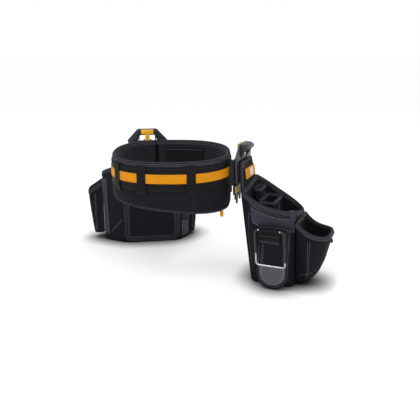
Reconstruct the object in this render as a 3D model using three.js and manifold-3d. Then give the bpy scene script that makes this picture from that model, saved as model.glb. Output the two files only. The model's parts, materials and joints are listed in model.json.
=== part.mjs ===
// Padded tool belt standing on its two clip-on pouches.
// Millimetres, +Z up, origin on the floor under the middle of the whole object.
// The wearer's back is towards -Y, the buckle is towards +Y.
import * as THREE from 'three';
import { mergeVertices } from 'three/addons/utils/BufferGeometryUtils.js';
import Module from 'manifold-3d';

const wasm = await Module();
wasm.setup();

// ---------------------------------------------------------------- driving dimensions
const GAP = 0.3;                 // clearance between pieces that touch on the real belt

const RING_X = -75.6;             // centre of the waist ring
const RING_Y = -78.1;
const RING_RADIUS = 167.5;       // half width of the ring at the outside of its padding
const RING_POWER = 2.4;          // 2 is a circle, more is squarer
const RING_STEP = 5;             // degrees between ring sections

const RIM_Z = 351;               // top edge of the belt
const PAD_THICK = 9;
const LINING_THICK = 2.4;
const BINDING_HEIGHT = 10;
const WIDE_PAD_LOW = 214;        // lower edge of the back pad, at the ring's middle
const WIDE_PAD_SKEW = 18;        // how much lower that edge is at the right end
const WING_LOW = 246;            // lower edge of the two front pads
const BACK_FROM = 182;           // the back pad's arc, degrees anticlockwise from +X
const BACK_TO = 352;
const LEFT_WING_FROM = 112;
const RIGHT_WING_TO = 108 + 360;

const WEBBING_LOW = 272;
const WEBBING_HIGH = 336;
const WEBBING_THICK = 2.3;
const WEBBING_FROM = 94;
const WEBBING_TO = 66 + 360;
const STRIPE_WIDTH = 25.4;
const STRIPE_THICK = 1;
const STRIPE_MID = 306.5;
const KEEPER_WIDTH = 25;
const KEEPER_THICK = 2;
const KEEPER_ANGLES = [150, 219, 246, 290, 385];
const PULL_TAB_ANGLE = 326;

const BUCKLE_ANGLE = 79;         // middle of the side-release buckle
const BUCKLE_HEIGHT = 66;
const BUCKLE_Z = 304;

const HUB_HALF = 44;             // hub plate, rails and the clip that slides on them
const HUB_LOW = 266;
const HUB_HIGH = 338;
const HUB_PLATE = 5;
const RAIL_LOW = 280;
const RAIL_HALF = 28;
const FLANGE_HALF = 34;
const FLANGE_FROM = 9;
const RAIL_DEPTH = 12.5;
const CLIP_PLATE_IN = 14;
const CLIP_PLATE_OUT = 19;
const CLIP_TOP = 381;
const CLIP_LOW = 272;
const CLIP_HALF = 50;
const CLIP_BASE_HALF = 62;       // widest part of the trapezoid, at the rim
const CLIP_TOP_HALF = 32;
const CATCH_PIVOT_X = 8;
const CATCH_PIVOT_Z = 345;

const NECK_TOP = 335;            // top of each pouch's back panel
const PANEL_THICK = 7;
const WALL = 4;

// Each pouch hangs on a hub: its place from the ring's centre, the way it faces, and its back panel's lean.
const RIGHT = { x: 186, y: -38, turn: -22, backing: 16, panelTop: 28, lean: 0.142, shift: 2 };
const LEFT = { x: -86, y: 169, turn: 99, backing: 9, panelTop: 28, lean: 0.03, shift: -8 };

// ---------------------------------------------------------------- materials
function material(color, roughness, metalness = 0) {
  return new THREE.MeshStandardMaterial({ color, roughness, metalness });
}
const padCloth = material(0x26272c, 0.85);
const liningMesh = material(0x35363c, 0.9);
const bindingTape = material(0x4c4d52, 0.75);
const webbing = material(0x1f2024, 0.7);
const stripeCloth = material(0xf0a514, 0.6);
const bagCloth = material(0x2b2c32, 0.85);
const greyNylon = material(0x5c5e68, 0.6);
const blackPlastic = material(0x17181a, 0.45);
const yellowPlastic = material(0xf2b233, 0.4);
const steelWire = material(0xc8cacc, 0.2, 1);
const whiteCloth = material(0xd9d9d6, 0.8);

// ---------------------------------------------------------------- solid helpers
function degrees(angle) {
  return angle * Math.PI / 180;
}

function signedVolume(positions, index) {
  const a = new THREE.Vector3();
  const b = new THREE.Vector3();
  const c = new THREE.Vector3();
  let volume = 0;
  for (let i = 0; i < index.length; i += 3) {
    a.fromArray(positions, index[i] * 3);
    b.fromArray(positions, index[i + 1] * 3);
    c.fromArray(positions, index[i + 2] * 3);
    volume += a.dot(b.cross(c));
  }
  return volume;
}

// A closed solid through loops of equal length, with a fan over the first and last loop.
function loft(loops) {
  const positions = [];
  const index = [];
  const count = loops[0].length;
  for (const loop of loops) {
    for (const point of loop) positions.push(...point);
  }
  for (let i = 0; i + 1 < loops.length; i += 1) {
    for (let j = 0; j < count; j += 1) {
      const a = i * count + j;
      const b = i * count + (j + 1) % count;
      index.push(a, b, b + count, a, b + count, a + count);
    }
  }
  for (const [loop, start, order] of [[loops[0], 0, -1], [loops.at(-1), (loops.length - 1) * count, 1]]) {
    const middle = positions.length / 3;
    for (let axis = 0; axis < 3; axis += 1) {
      positions.push(loop.reduce((sum, point) => sum + point[axis], 0) / count);
    }
    for (let j = 0; j < count; j += 1) {
      const a = start + j;
      const b = start + (j + 1) % count;
      if (order > 0) index.push(a, b, middle);
      else index.push(b, a, middle);
    }
  }
  if (signedVolume(positions, index) < 0) index.reverse();
  const geometry = new THREE.BufferGeometry();
  geometry.setAttribute('position', new THREE.Float32BufferAttribute(positions, 3));
  geometry.setIndex(index);
  return geometry;
}

function toSolid(geometry) {
  const bare = geometry.clone();
  bare.deleteAttribute('normal');
  bare.deleteAttribute('uv');
  const merged = mergeVertices(bare, 1e-4);
  return new wasm.Manifold(new wasm.Mesh({
    numProp: 3,
    vertProperties: new Float32Array(merged.attributes.position.array),
    triVerts: new Uint32Array(merged.index.array),
  }));
}

function fromSolid(solid) {
  const mesh = solid.getMesh();
  const geometry = new THREE.BufferGeometry();
  geometry.setAttribute('position', new THREE.Float32BufferAttribute(mesh.vertProperties, 3));
  geometry.setIndex(Array.from(mesh.triVerts));
  return geometry;
}

function unite(geometries) {
  return fromSolid(geometries.map(toSolid).reduce((whole, piece) => whole.add(piece)));
}

function block(x0, x1, y0, y1, z0, z1) {
  const geometry = new THREE.BoxGeometry(x1 - x0, y1 - y0, z1 - z0);
  return geometry.translate((x0 + x1) / 2, (y0 + y1) / 2, (z0 + z1) / 2);
}

// An outline drawn across (Y) and up (Z), given a thickness along X.
function upright(shape, x0, x1, curveSegments = 4) {
  const geometry = new THREE.ExtrudeGeometry(shape, { depth: x1 - x0, bevelEnabled: false, curveSegments });
  const basis = new THREE.Matrix4().makeBasis(
    new THREE.Vector3(0, 1, 0),
    new THREE.Vector3(0, 0, 1),
    new THREE.Vector3(1, 0, 0),
  );
  return geometry.applyMatrix4(basis).translate(x0, 0, 0);
}

// A tube along a closed or open curve, with flat ends where it is open.
function rod(curve, radius, steps) {
  const section = new THREE.Shape();
  section.absarc(0, 0, radius, 0, 2 * Math.PI, false);
  return new THREE.ExtrudeGeometry(section, { steps, extrudePath: curve, curveSegments: 5 });
}

function piece(parent, name, geometry, look) {
  const mesh = new THREE.Mesh(geometry, look);
  mesh.name = name;
  parent.add(mesh);
  return mesh;
}

// ---------------------------------------------------------------- the waist ring
function ringPoint(angle, offset) {
  const cos = Math.cos(degrees(angle));
  const sin = Math.sin(degrees(angle));
  const size = (Math.abs(cos) ** RING_POWER + Math.abs(sin) ** RING_POWER) ** (-1 / RING_POWER);
  const normal = new THREE.Vector2(
    Math.sign(cos) * Math.abs(cos) ** (RING_POWER - 1),
    Math.sign(sin) * Math.abs(sin) ** (RING_POWER - 1),
  ).normalize();
  return [
    RING_X + RING_RADIUS * size * cos + offset * normal.x,
    RING_Y + RING_RADIUS * size * sin + offset * normal.y,
  ];
}

// Every strip shares the same in-between angles, so strips laid on each other stay parallel.
function ringAngles(from, to) {
  const angles = [from];
  for (let k = Math.floor(from / RING_STEP) + 1; k * RING_STEP < to; k += 1) angles.push(k * RING_STEP);
  angles.push(to);
  return angles;
}

// A strip that follows the ring; low and high are heights or functions of the angle.
function ringBand(from, to, inner, outer, low, high) {
  const lowAt = typeof low === 'function' ? low : () => low;
  const highAt = typeof high === 'function' ? high : () => high;
  return loft(ringAngles(from, to).map((angle) => [
    [...ringPoint(angle, inner), lowAt(angle)],
    [...ringPoint(angle, outer), lowAt(angle)],
    [...ringPoint(angle, outer), highAt(angle)],
    [...ringPoint(angle, inner), highAt(angle)],
  ]));
}

// The back pad's lower edge: skewed, and rounded up at both ends.
function widePadEdge(angle) {
  const perDegree = RING_RADIUS * Math.PI / 180;
  const rise = (distance, radius) => {
    const inside = Math.max(0, radius - distance);
    return radius - Math.sqrt(radius * radius - inside * inside);
  };
  const skew = WIDE_PAD_SKEW * Math.cos(degrees(angle));
  const leftRise = rise((angle - BACK_FROM) * perDegree, 30);
  const rightRise = rise((BACK_TO - angle) * perDegree, 16);
  return WIDE_PAD_LOW - skew + leftRise + rightRise;
}

function padSection(belt, name, from, to, lowAt) {
  const liningIn = -PAD_THICK - GAP - LINING_THICK;
  const lowTop = (angle) => lowAt(angle) + BINDING_HEIGHT;
  const padLow = (angle) => lowTop(angle) + 4 * GAP;
  const padHigh = RIM_Z - BINDING_HEIGHT - GAP;
  piece(belt, name, ringBand(from, to, -PAD_THICK, 0, padLow, padHigh), padCloth);
  piece(belt, `${name}_lining`, ringBand(from, to, liningIn, -PAD_THICK - GAP, padLow, padHigh), liningMesh);
  piece(belt, `${name}_top_binding`, ringBand(from, to, liningIn, 0, RIM_Z - BINDING_HEIGHT, RIM_Z), bindingTape);
  piece(belt, `${name}_bottom_binding`, ringBand(from, to, liningIn, 0, lowAt, lowTop), bindingTape);
}

function makePads(belt) {
  const seam = 0.3;
  const wingEdge = () => WING_LOW;
  padSection(belt, 'back_pad', BACK_FROM, BACK_TO, widePadEdge);
  padSection(belt, 'left_wing_pad', LEFT_WING_FROM, BACK_FROM - seam, wingEdge);
  padSection(belt, 'right_wing_pad', BACK_TO + seam, RIGHT_WING_TO, wingEdge);
  const guardOut = -PAD_THICK - LINING_THICK - 2 * GAP;
  piece(belt, 'buckle_guard_patch', ringBand(57, 100, guardOut - 3, guardOut, 268, 326), liningMesh);
  const [tabX, tabY] = ringPoint(PULL_TAB_ANGLE, -5);
  const tabTop = widePadEdge(PULL_TAB_ANGLE) - 3 * GAP;
  piece(belt, 'pad_pull_tab', block(tabX - 5, tabX + 5, tabY - 1.2, tabY + 1.2, tabTop - 17, tabTop), yellowPlastic);
}

function makeWebbing(belt) {
  const webbingOut = GAP + WEBBING_THICK;
  const stripeIn = webbingOut + GAP;
  const stripeOut = stripeIn + STRIPE_THICK;
  const stripeLow = STRIPE_MID - STRIPE_WIDTH / 2;
  const stripeHigh = STRIPE_MID + STRIPE_WIDTH / 2;
  piece(belt, 'belt_webbing', ringBand(WEBBING_FROM, WEBBING_TO, GAP, webbingOut, WEBBING_LOW, WEBBING_HIGH), webbing);
  piece(belt, 'belt_stripe', ringBand(136, 344, stripeIn, stripeOut, stripeLow, stripeHigh), stripeCloth);
  const perDegree = RING_RADIUS * Math.PI / 180;
  const halfAngle = KEEPER_WIDTH / 2 / perDegree;
  KEEPER_ANGLES.forEach((angle, i) => {
    const keeperIn = stripeOut + GAP;
    const strap = ringBand(
      angle - halfAngle, angle + halfAngle, keeperIn, keeperIn + KEEPER_THICK, WEBBING_LOW - 5, WEBBING_HIGH + 5,
    );
    piece(belt, `keeper_${i + 1}`, strap, webbing);
  });
  piece(belt, 'webbing_tail', ringBand(392, 424, webbingOut + GAP, webbingOut + 2, 280, 328), webbing);
  piece(belt, 'tail_loop', ringBand(398, 404, webbingOut + 2 + GAP, webbingOut + 4, 276, 332), webbing);
}

// ---------------------------------------------------------------- the buckle
function bucklePlace() {
  const [x, y] = ringPoint(BUCKLE_ANGLE, 0.5);
  const [outX, outY] = ringPoint(BUCKLE_ANGLE, 10);
  const group = new THREE.Group();
  group.position.set(x, y, 0);
  group.rotation.z = Math.atan2(outY - y, outX - x);
  return group;
}

function prong(side) {
  const root = 8;
  const tip = -22;
  const outer = side * (BUCKLE_HEIGHT / 2 - 1);
  const arm = new THREE.Shape();
  arm.moveTo(root, BUCKLE_Z + outer - side * 12);
  arm.lineTo(root, BUCKLE_Z + outer - side * 4);
  arm.lineTo(-6, BUCKLE_Z + outer + side * 1.5);
  arm.lineTo(-14, BUCKLE_Z + outer - side * 1);
  arm.lineTo(tip, BUCKLE_Z + outer - side * 9);
  arm.lineTo(tip + 4, BUCKLE_Z + outer - side * 13);
  return upright(arm, 4, 10);
}

function makeBuckle(belt) {
  const place = bucklePlace();
  belt.add(place);
  const half = BUCKLE_HEIGHT / 2;
  const plug = unite([
    block(3, 11, 8.5, 24, BUCKLE_Z - half, BUCKLE_Z + half),
    block(3, 6, 20, 36, BUCKLE_Z - half, BUCKLE_Z - half + 6),
    block(3, 6, 20, 36, BUCKLE_Z + half - 6, BUCKLE_Z + half),
    block(3, 6, 32, 36, BUCKLE_Z - half, BUCKLE_Z + half),
    block(5, 9, -14, 12, BUCKLE_Z - 5, BUCKLE_Z + 5),
  ]);
  const socket = unite([
    block(3, 13, -40, -24, BUCKLE_Z - half, BUCKLE_Z + half),
    block(10.8, 13, -26, 4, BUCKLE_Z - 17, BUCKLE_Z + 17),
    block(1, 3.2, -26, 4, BUCKLE_Z - 17, BUCKLE_Z + 17),
    block(1, 3.2, -40, -24, BUCKLE_Z - 17, BUCKLE_Z + 17),
  ]);
  piece(place, 'buckle_plug', plug, blackPlastic);
  piece(place, 'buckle_socket', socket, blackPlastic);
  piece(place, 'buckle_upper_prong', prong(1), blackPlastic);
  piece(place, 'buckle_lower_prong', prong(-1), blackPlastic);
}

// ---------------------------------------------------------------- hub, catch and clip
function hubGroup(root, side) {
  const group = new THREE.Group();
  group.position.set(RING_X + side.x, RING_Y + side.y, 0);
  group.rotation.z = degrees(side.turn);
  root.add(group);
  return group;
}

function hubPlate() {
  const rail = new THREE.Shape();
  rail.moveTo(0, -HUB_HALF);
  rail.lineTo(HUB_PLATE, -HUB_HALF);
  rail.lineTo(HUB_PLATE, -RAIL_HALF);
  rail.lineTo(FLANGE_FROM, -RAIL_HALF);
  rail.lineTo(FLANGE_FROM, -FLANGE_HALF);
  rail.lineTo(RAIL_DEPTH, -FLANGE_HALF);
  rail.lineTo(RAIL_DEPTH, FLANGE_HALF);
  rail.lineTo(FLANGE_FROM, FLANGE_HALF);
  rail.lineTo(FLANGE_FROM, RAIL_HALF);
  rail.lineTo(HUB_PLATE, RAIL_HALF);
  rail.lineTo(HUB_PLATE, HUB_HALF);
  rail.lineTo(0, HUB_HALF);
  const rails = new THREE.ExtrudeGeometry(rail, { depth: HUB_HIGH - RAIL_LOW, bevelEnabled: false });
  rails.translate(0, 0, RAIL_LOW);
  const ears = [-1, 1].map((end) => block(
    4, 12, Math.min(end * 8, end * 12), Math.max(end * 8, end * 12), HUB_HIGH - 1, CATCH_PIVOT_Z + 5,
  ));
  return unite([rails, block(0, HUB_PLATE, -HUB_HALF, HUB_HALF, HUB_LOW, RAIL_LOW + 1), ...ears]);
}

// A guide skirt under the hub whose lower edge is a row of teeth of different lengths.
function hubComb() {
  const teeth = [14, 30, 44, 22, 36, 18];
  const pitch = 12;
  const top = HUB_LOW - GAP;
  const root = top - 16;
  const start = -teeth.length * pitch / 2;
  const comb = new THREE.Shape();
  comb.moveTo(start, top);
  teeth.forEach((length, i) => {
    const left = start + i * pitch;
    comb.lineTo(left, root);
    comb.lineTo(left + 1.5, root - length);
    comb.lineTo(left + pitch - 4.5, root - length);
    comb.lineTo(left + pitch - 3, root);
  });
  comb.lineTo(-start, root);
  comb.lineTo(-start, top);
  return upright(comb, 0, HUB_PLATE);
}

function catchLever() {
  const tee = new THREE.Shape();
  tee.moveTo(-6.5, CATCH_PIVOT_Z - 4);
  tee.lineTo(6.5, CATCH_PIVOT_Z - 4);
  tee.lineTo(6.5, 366);
  tee.lineTo(19, 366);
  tee.lineTo(19, 380);
  tee.lineTo(-19, 380);
  tee.lineTo(-19, 366);
  tee.lineTo(-6.5, 366);
  return upright(tee, 5.5, 10.5);
}

function clipBracket() {
  const front = new THREE.Shape();
  front.moveTo(-CLIP_HALF, CLIP_LOW);
  front.lineTo(CLIP_HALF, CLIP_LOW);
  front.lineTo(CLIP_BASE_HALF, 347);
  front.lineTo(CLIP_TOP_HALF + 2, CLIP_TOP - 4);
  front.quadraticCurveTo(CLIP_TOP_HALF, CLIP_TOP, CLIP_TOP_HALF - 5, CLIP_TOP);
  front.lineTo(-CLIP_TOP_HALF + 5, CLIP_TOP);
  front.quadraticCurveTo(-CLIP_TOP_HALF, CLIP_TOP, -CLIP_TOP_HALF - 2, CLIP_TOP - 4);
  front.lineTo(-CLIP_BASE_HALF, 347);
  const window = new THREE.Path();
  window.moveTo(-30, 345);
  window.lineTo(-22, 362);
  window.lineTo(22, 362);
  window.lineTo(30, 345);
  front.holes.push(window);
  const side = new THREE.Shape();
  side.moveTo(CLIP_PLATE_OUT - 2, CLIP_TOP);
  side.lineTo(CLIP_PLATE_OUT + 12, CLIP_TOP - 1);
  side.lineTo(CLIP_PLATE_OUT + 20, CLIP_TOP - 7);
  side.lineTo(CLIP_PLATE_OUT + 21, CLIP_TOP - 14);
  side.lineTo(CLIP_PLATE_OUT + 17, CLIP_TOP - 15);
  side.lineTo(CLIP_PLATE_OUT + 10, CLIP_TOP - 8);
  side.lineTo(CLIP_PLATE_OUT - 2, CLIP_TOP - 7);
  const grip = new THREE.ExtrudeGeometry(side, { depth: 2 * CLIP_TOP_HALF - 8, bevelEnabled: false });
  grip.rotateX(Math.PI / 2).translate(0, CLIP_TOP_HALF - 4, 0);
  const hooks = [-1, 1].flatMap((end) => {
    const lip = [end * 35.5, end * 40].sort((a, b) => a - b);
    const hook = [end * 29.5, end * 40].sort((a, b) => a - b);
    return [
      block(6.2, CLIP_PLATE_IN + 1, ...lip, RAIL_LOW + 2, HUB_HIGH - 4),
      block(6.2, 8, ...hook, RAIL_LOW + 2, HUB_HIGH - 4),
    ];
  });
  return unite([upright(front, CLIP_PLATE_IN, CLIP_PLATE_OUT), grip, ...hooks]);
}

function backingPad(side) {
  const back = -side.backing + 7.5;
  const wedge = new THREE.Shape();
  wedge.moveTo(-GAP, -36);
  wedge.lineTo(-GAP, 36);
  wedge.lineTo(back, 20);
  wedge.lineTo(back, -20);
  const geometry = new THREE.ExtrudeGeometry(wedge, { depth: 40, bevelEnabled: false });
  return geometry.translate(0, 0, 284);
}

function makeHub(belt, name, side) {
  const group = hubGroup(belt, side);
  piece(group, `${name}_hub_plate`, hubPlate(), blackPlastic);
  piece(group, `${name}_hub_comb`, hubComb(), blackPlastic);
  piece(group, `${name}_hub_tab`, block(HUB_PLATE + GAP, HUB_PLATE + 4, -32, -10, 242, 262), yellowPlastic);
  if (side.backing > 8) piece(group, `${name}_hub_backing`, backingPad(side), blackPlastic);
  piece(group, `${name}_catch`, catchLever(), yellowPlastic);
}

// ---------------------------------------------------------------- pouch helpers
function backAt(side, z) {
  return side.panelTop + side.lean * (NECK_TOP - z);
}

function leanGeometry(geometry, side) {
  const shear = new THREE.Matrix4().set(
    1, 0, -side.lean, side.panelTop + side.lean * NECK_TOP,
    0, 1, 0, 0,
    0, 0, 1, 0,
    0, 0, 0, 1,
  );
  return geometry.applyMatrix4(shear);
}

// Corner points with a round on each: [x, y, radius].
function roundOutline(corners, segments = 3) {
  const points = [];
  corners.forEach(([x, y, radius], i) => {
    const before = corners[(i + corners.length - 1) % corners.length];
    const after = corners[(i + 1) % corners.length];
    const here = new THREE.Vector2(x, y);
    const start = new THREE.Vector2(before[0] - x, before[1] - y).setLength(radius).add(here);
    const end = new THREE.Vector2(after[0] - x, after[1] - y).setLength(radius).add(here);
    const arc = new THREE.QuadraticBezierCurve(start, here, end);
    for (let k = 0; k <= segments; k += 1) {
      const point = arc.getPoint(k / segments);
      points.push([point.x, point.y]);
    }
  });
  return points;
}

function inset(points, distance) {
  return points.map(([x, y], i) => {
    const before = points[(i + points.length - 1) % points.length];
    const after = points[(i + 1) % points.length];
    const tangent = new THREE.Vector2(after[0] - before[0], after[1] - before[1]).normalize();
    return [x - tangent.y * distance, y + tangent.x * distance];
  });
}

// An open-topped fabric pocket. outline(z) gives anticlockwise points, rim(x, y) the height of its edge.
function pocket({ outline, bottom, rim, wall = WALL, floor = wall, levels = [0, 0.25, 0.5, 0.75, 1] }) {
  const settlingPasses = 3;
  const pointAt = (j, fraction, distance, base) => {
    let z = base;
    let place = [0, 0];
    for (let pass = 0; pass < settlingPasses; pass += 1) {
      place = inset(outline(z), distance)[j];
      z = base + fraction * (rim(...place) - base);
    }
    return [...place, z];
  };
  const loopAt = (fraction, distance, base) => (
    outline(bottom).map((_, j) => pointAt(j, fraction, distance, base))
  );
  const outside = levels.map((fraction) => loopAt(fraction, 0, bottom));
  const inside = levels.map((fraction) => loopAt(fraction, wall, bottom + floor)).reverse();
  return loft([...outside, ...inside]);
}

// The back panel: a wide foot that sweeps in to the neck behind the clip. neck holds half widths on each side.
function leafPanel(side, half, flareZ, neck, corner) {
  const low = side.shift - half;
  const high = side.shift + half;
  const shoulderZ = flareZ + 58;
  const leaf = new THREE.Shape();
  leaf.moveTo(low + corner, 1);
  leaf.lineTo(high - corner, 1);
  leaf.quadraticCurveTo(high, 1, high, corner + 4);
  leaf.lineTo(high, flareZ);
  leaf.quadraticCurveTo(neck.farShoulder + 4, flareZ + 22, neck.farShoulder, shoulderZ);
  leaf.lineTo(neck.farTop, NECK_TOP);
  leaf.lineTo(-neck.nearTop, NECK_TOP);
  leaf.lineTo(-neck.nearShoulder, shoulderZ);
  leaf.quadraticCurveTo(-neck.nearShoulder - 4, flareZ + 22, low, flareZ);
  leaf.lineTo(low, corner + 4);
  leaf.quadraticCurveTo(low, 1, low + corner, 1);
  return leanGeometry(upright(leaf, -PANEL_THICK, 0, 5), side);
}

function rivet(side, y, z) {
  const head = new THREE.LatheGeometry([
    new THREE.Vector2(0, 0),
    new THREE.Vector2(6, 0),
    new THREE.Vector2(5.4, 1.6),
    new THREE.Vector2(3, 2.6),
    new THREE.Vector2(0, 3),
  ], 12);
  head.rotateZ(-Math.PI / 2).rotateY(-Math.atan(side.lean));
  return head.translate(backAt(side, z) + GAP, y, z);
}

function makeClip(group, name, side) {
  piece(group, `${name}_clip`, clipBracket(), blackPlastic);
  [-1, 1].forEach((end, i) => {
    piece(group, `${name}_panel_rivet_${i + 1}`, rivet(side, end * 36, NECK_TOP - 14), blackPlastic);
  });
}

// ---------------------------------------------------------------- right pouch
const RIGHT_FRONT = 190;
const FRONT_REACH = 88;          // how far the front pocket's rim stands out
const RIGHT_HALF = 74;
const RIGHT_NECK = { nearTop: 47, nearShoulder: 60, farTop: 47, farShoulder: 60 };
const HAMMER_TOP = 178;
const HAMMER_X = 139;
const HAMMER_HALF = 46;
const HAMMER_FACE = -(RIGHT_HALF + 7);   // inner face of the hammer panel at its top
const HAMMER_SPLAY = 0.07;               // how far the panel's foot stands out, per mm of drop
const LOOP_AXIS_Y = -101;
const LOOP_AXIS_Z = 167;
const LOOP_TOP_SHIFT = -12;              // the wire loop's top bar and foot, sideways from the panel's middle
const LOOP_FOOT_SHIFT = 2;

// The mouth dips steeply behind the neck on the near side and slopes evenly on the far side.
function rightRim(x, y) {
  const near = 216 + 44 * (Math.max(0, RIGHT_FRONT - x) / 150) ** 3;
  const far = 276 - 0.58 * (x - 40);
  const across = THREE.MathUtils.smoothstep(y, -RIGHT_HALF, RIGHT_HALF);
  return near + (far - near) * across;
}

function rightMainOutline(z) {
  const back = backAt(RIGHT, z);
  return roundOutline([
    [back, RIGHT.shift - RIGHT_HALF + 4, 8],
    [RIGHT_FRONT, RIGHT.shift - RIGHT_HALF, 26],
    [RIGHT_FRONT, RIGHT.shift + RIGHT_HALF, 54],
    [back, RIGHT.shift + RIGHT_HALF - 4, 8],
  ], 4);
}

function boxPocketOutline(x0, x1, y0, y1, radius) {
  return (z) => roundOutline([
    [x0 + backAt(RIGHT, z), y0, radius],
    [x1 + backAt(RIGHT, z), y0, radius],
    [x1 + backAt(RIGHT, z), y1, radius],
    [x0 + backAt(RIGHT, z), y1, radius],
  ], 2);
}

function frontPocketOutline(z) {
  const open = Math.min(1, z / 150);
  const reach = RIGHT_FRONT + GAP + 36 + (FRONT_REACH - 38) * open;
  const half = 40 + 14 * open;
  const corner = 28 + 6 * open;
  const middle = -8;
  return roundOutline([
    [RIGHT_FRONT + GAP, middle - half, 6],
    [reach, middle - half, corner],
    [reach, middle + half, corner],
    [RIGHT_FRONT + GAP, middle + half, 6],
  ], 4);
}

function frontPocketRim(x) {
  return 153 + 36 * (Math.max(0, RIGHT_FRONT + FRONT_REACH - x) / FRONT_REACH) ** 3;
}

function hammerPanelShape(half, top, bottom) {
  const shape = new THREE.Shape();
  shape.moveTo(HAMMER_X - half, top);
  shape.lineTo(HAMMER_X - half, bottom + half);
  shape.absarc(HAMMER_X, bottom + half, half, Math.PI, 2 * Math.PI, false);
  shape.lineTo(HAMMER_X + half, top);
  return shape;
}

// A sheet whose outline is drawn along X and up Z, leaning outwards (-Y) as it goes down.
function splayedPanel(shape, near, far) {
  const geometry = new THREE.ExtrudeGeometry(shape, { depth: near - far, bevelEnabled: false, curveSegments: 12 });
  geometry.rotateX(Math.PI / 2);
  geometry.translate(0, near, 0);
  const shear = new THREE.Matrix4().set(
    1, 0, 0, 0,
    0, 1, HAMMER_SPLAY, -HAMMER_SPLAY * HAMMER_TOP,
    0, 0, 1, 0,
    0, 0, 0, 1,
  );
  return geometry.applyMatrix4(shear);
}

function hammerSleeve() {
  const y = LOOP_AXIS_Y;
  const z = LOOP_AXIS_Z;
  const section = new THREE.Shape();
  section.moveTo(y - 6, z - 6);
  section.lineTo(y + 7, z - 6);
  section.lineTo(y + 7, z + 6);
  section.lineTo(y - 6, z + 6);
  const bore = new THREE.Path();
  bore.absarc(y, z, 3.4, 0, 2 * Math.PI, true);
  section.holes.push(bore);
  const middle = HAMMER_X + LOOP_TOP_SHIFT;
  return upright(section, middle - 28, middle + 28, 4);
}

// The wire ring: a top bar inside the sleeve, two arms and the front bar that holds the hammer.
function hammerLoop() {
  const half = 40;
  const drop = 90;
  const splay = Math.tan(degrees(14));
  const corner = 10;
  const path = new THREE.CurvePath();
  const slant = (LOOP_FOOT_SHIFT - LOOP_TOP_SHIFT) / drop;
  const at = (x, down) => new THREE.Vector3(
    HAMMER_X + LOOP_TOP_SHIFT + x + slant * down,
    LOOP_AXIS_Y - down * splay,
    LOOP_AXIS_Z - down,
  );
  const corners = [[-half, 0], [-half, drop], [half, drop], [half, 0]];
  corners.forEach(([x, down], i) => {
    const here = at(x, down);
    const before = at(...corners[(i + 3) % 4]);
    const after = at(...corners[(i + 1) % 4]);
    const start = here.clone().add(before.clone().sub(here).setLength(corner));
    const end = here.clone().add(after.clone().sub(here).setLength(corner));
    path.add(new THREE.QuadraticBezierCurve3(start, here, end));
    path.add(new THREE.LineCurve3(end, after.clone().add(here.clone().sub(after).setLength(corner))));
  });
  const samples = path.getSpacedPoints(64).slice(0, -1);
  const curve = new THREE.CatmullRomCurve3(samples, true, 'centripetal');
  return closedRod(curve, 2.5, 64);
}

// A ring-shaped rod: sections round a closed curve, joined end to end.
function closedRod(curve, radius, steps) {
  const sides = 8;
  const frames = curve.computeFrenetFrames(steps, true);
  const positions = [];
  const index = [];
  for (let i = 0; i < steps; i += 1) {
    const centre = curve.getPointAt(i / steps);
    for (let j = 0; j < sides; j += 1) {
      const angle = 2 * Math.PI * j / sides;
      const point = centre.clone();
      point.addScaledVector(frames.normals[i], radius * Math.cos(angle));
      point.addScaledVector(frames.binormals[i], radius * Math.sin(angle));
      positions.push(point.x, point.y, point.z);
    }
  }
  for (let i = 0; i < steps; i += 1) {
    for (let j = 0; j < sides; j += 1) {
      const a = i * sides + j;
      const b = i * sides + (j + 1) % sides;
      const c = ((i + 1) % steps) * sides + (j + 1) % sides;
      const d = ((i + 1) % steps) * sides + j;
      index.push(a, b, c, a, c, d);
    }
  }
  if (signedVolume(positions, index) < 0) index.reverse();
  const geometry = new THREE.BufferGeometry();
  geometry.setAttribute('position', new THREE.Float32BufferAttribute(positions, 3));
  geometry.setIndex(index);
  return geometry;
}

function makeHammerHolder(group) {
  const panel = hammerPanelShape(HAMMER_HALF, HAMMER_TOP, 0.5);
  piece(group, 'hammer_panel', splayedPanel(panel, HAMMER_FACE, HAMMER_FACE - 9), bagCloth);
  const patch = new THREE.Shape();
  patch.moveTo(HAMMER_X - 41, 48);
  patch.absarc(HAMMER_X, 48, 41, Math.PI, 2 * Math.PI, false);
  patch.lineTo(HAMMER_X + 41, 64);
  patch.lineTo(HAMMER_X - 41, 64);
  piece(group, 'hammer_patch', splayedPanel(patch, HAMMER_FACE - 9 - GAP, HAMMER_FACE - 11), greyNylon);
  piece(group, 'hammer_sleeve', hammerSleeve(), greyNylon);
  piece(group, 'hammer_loop', hammerLoop(), steelWire);
}

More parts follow.
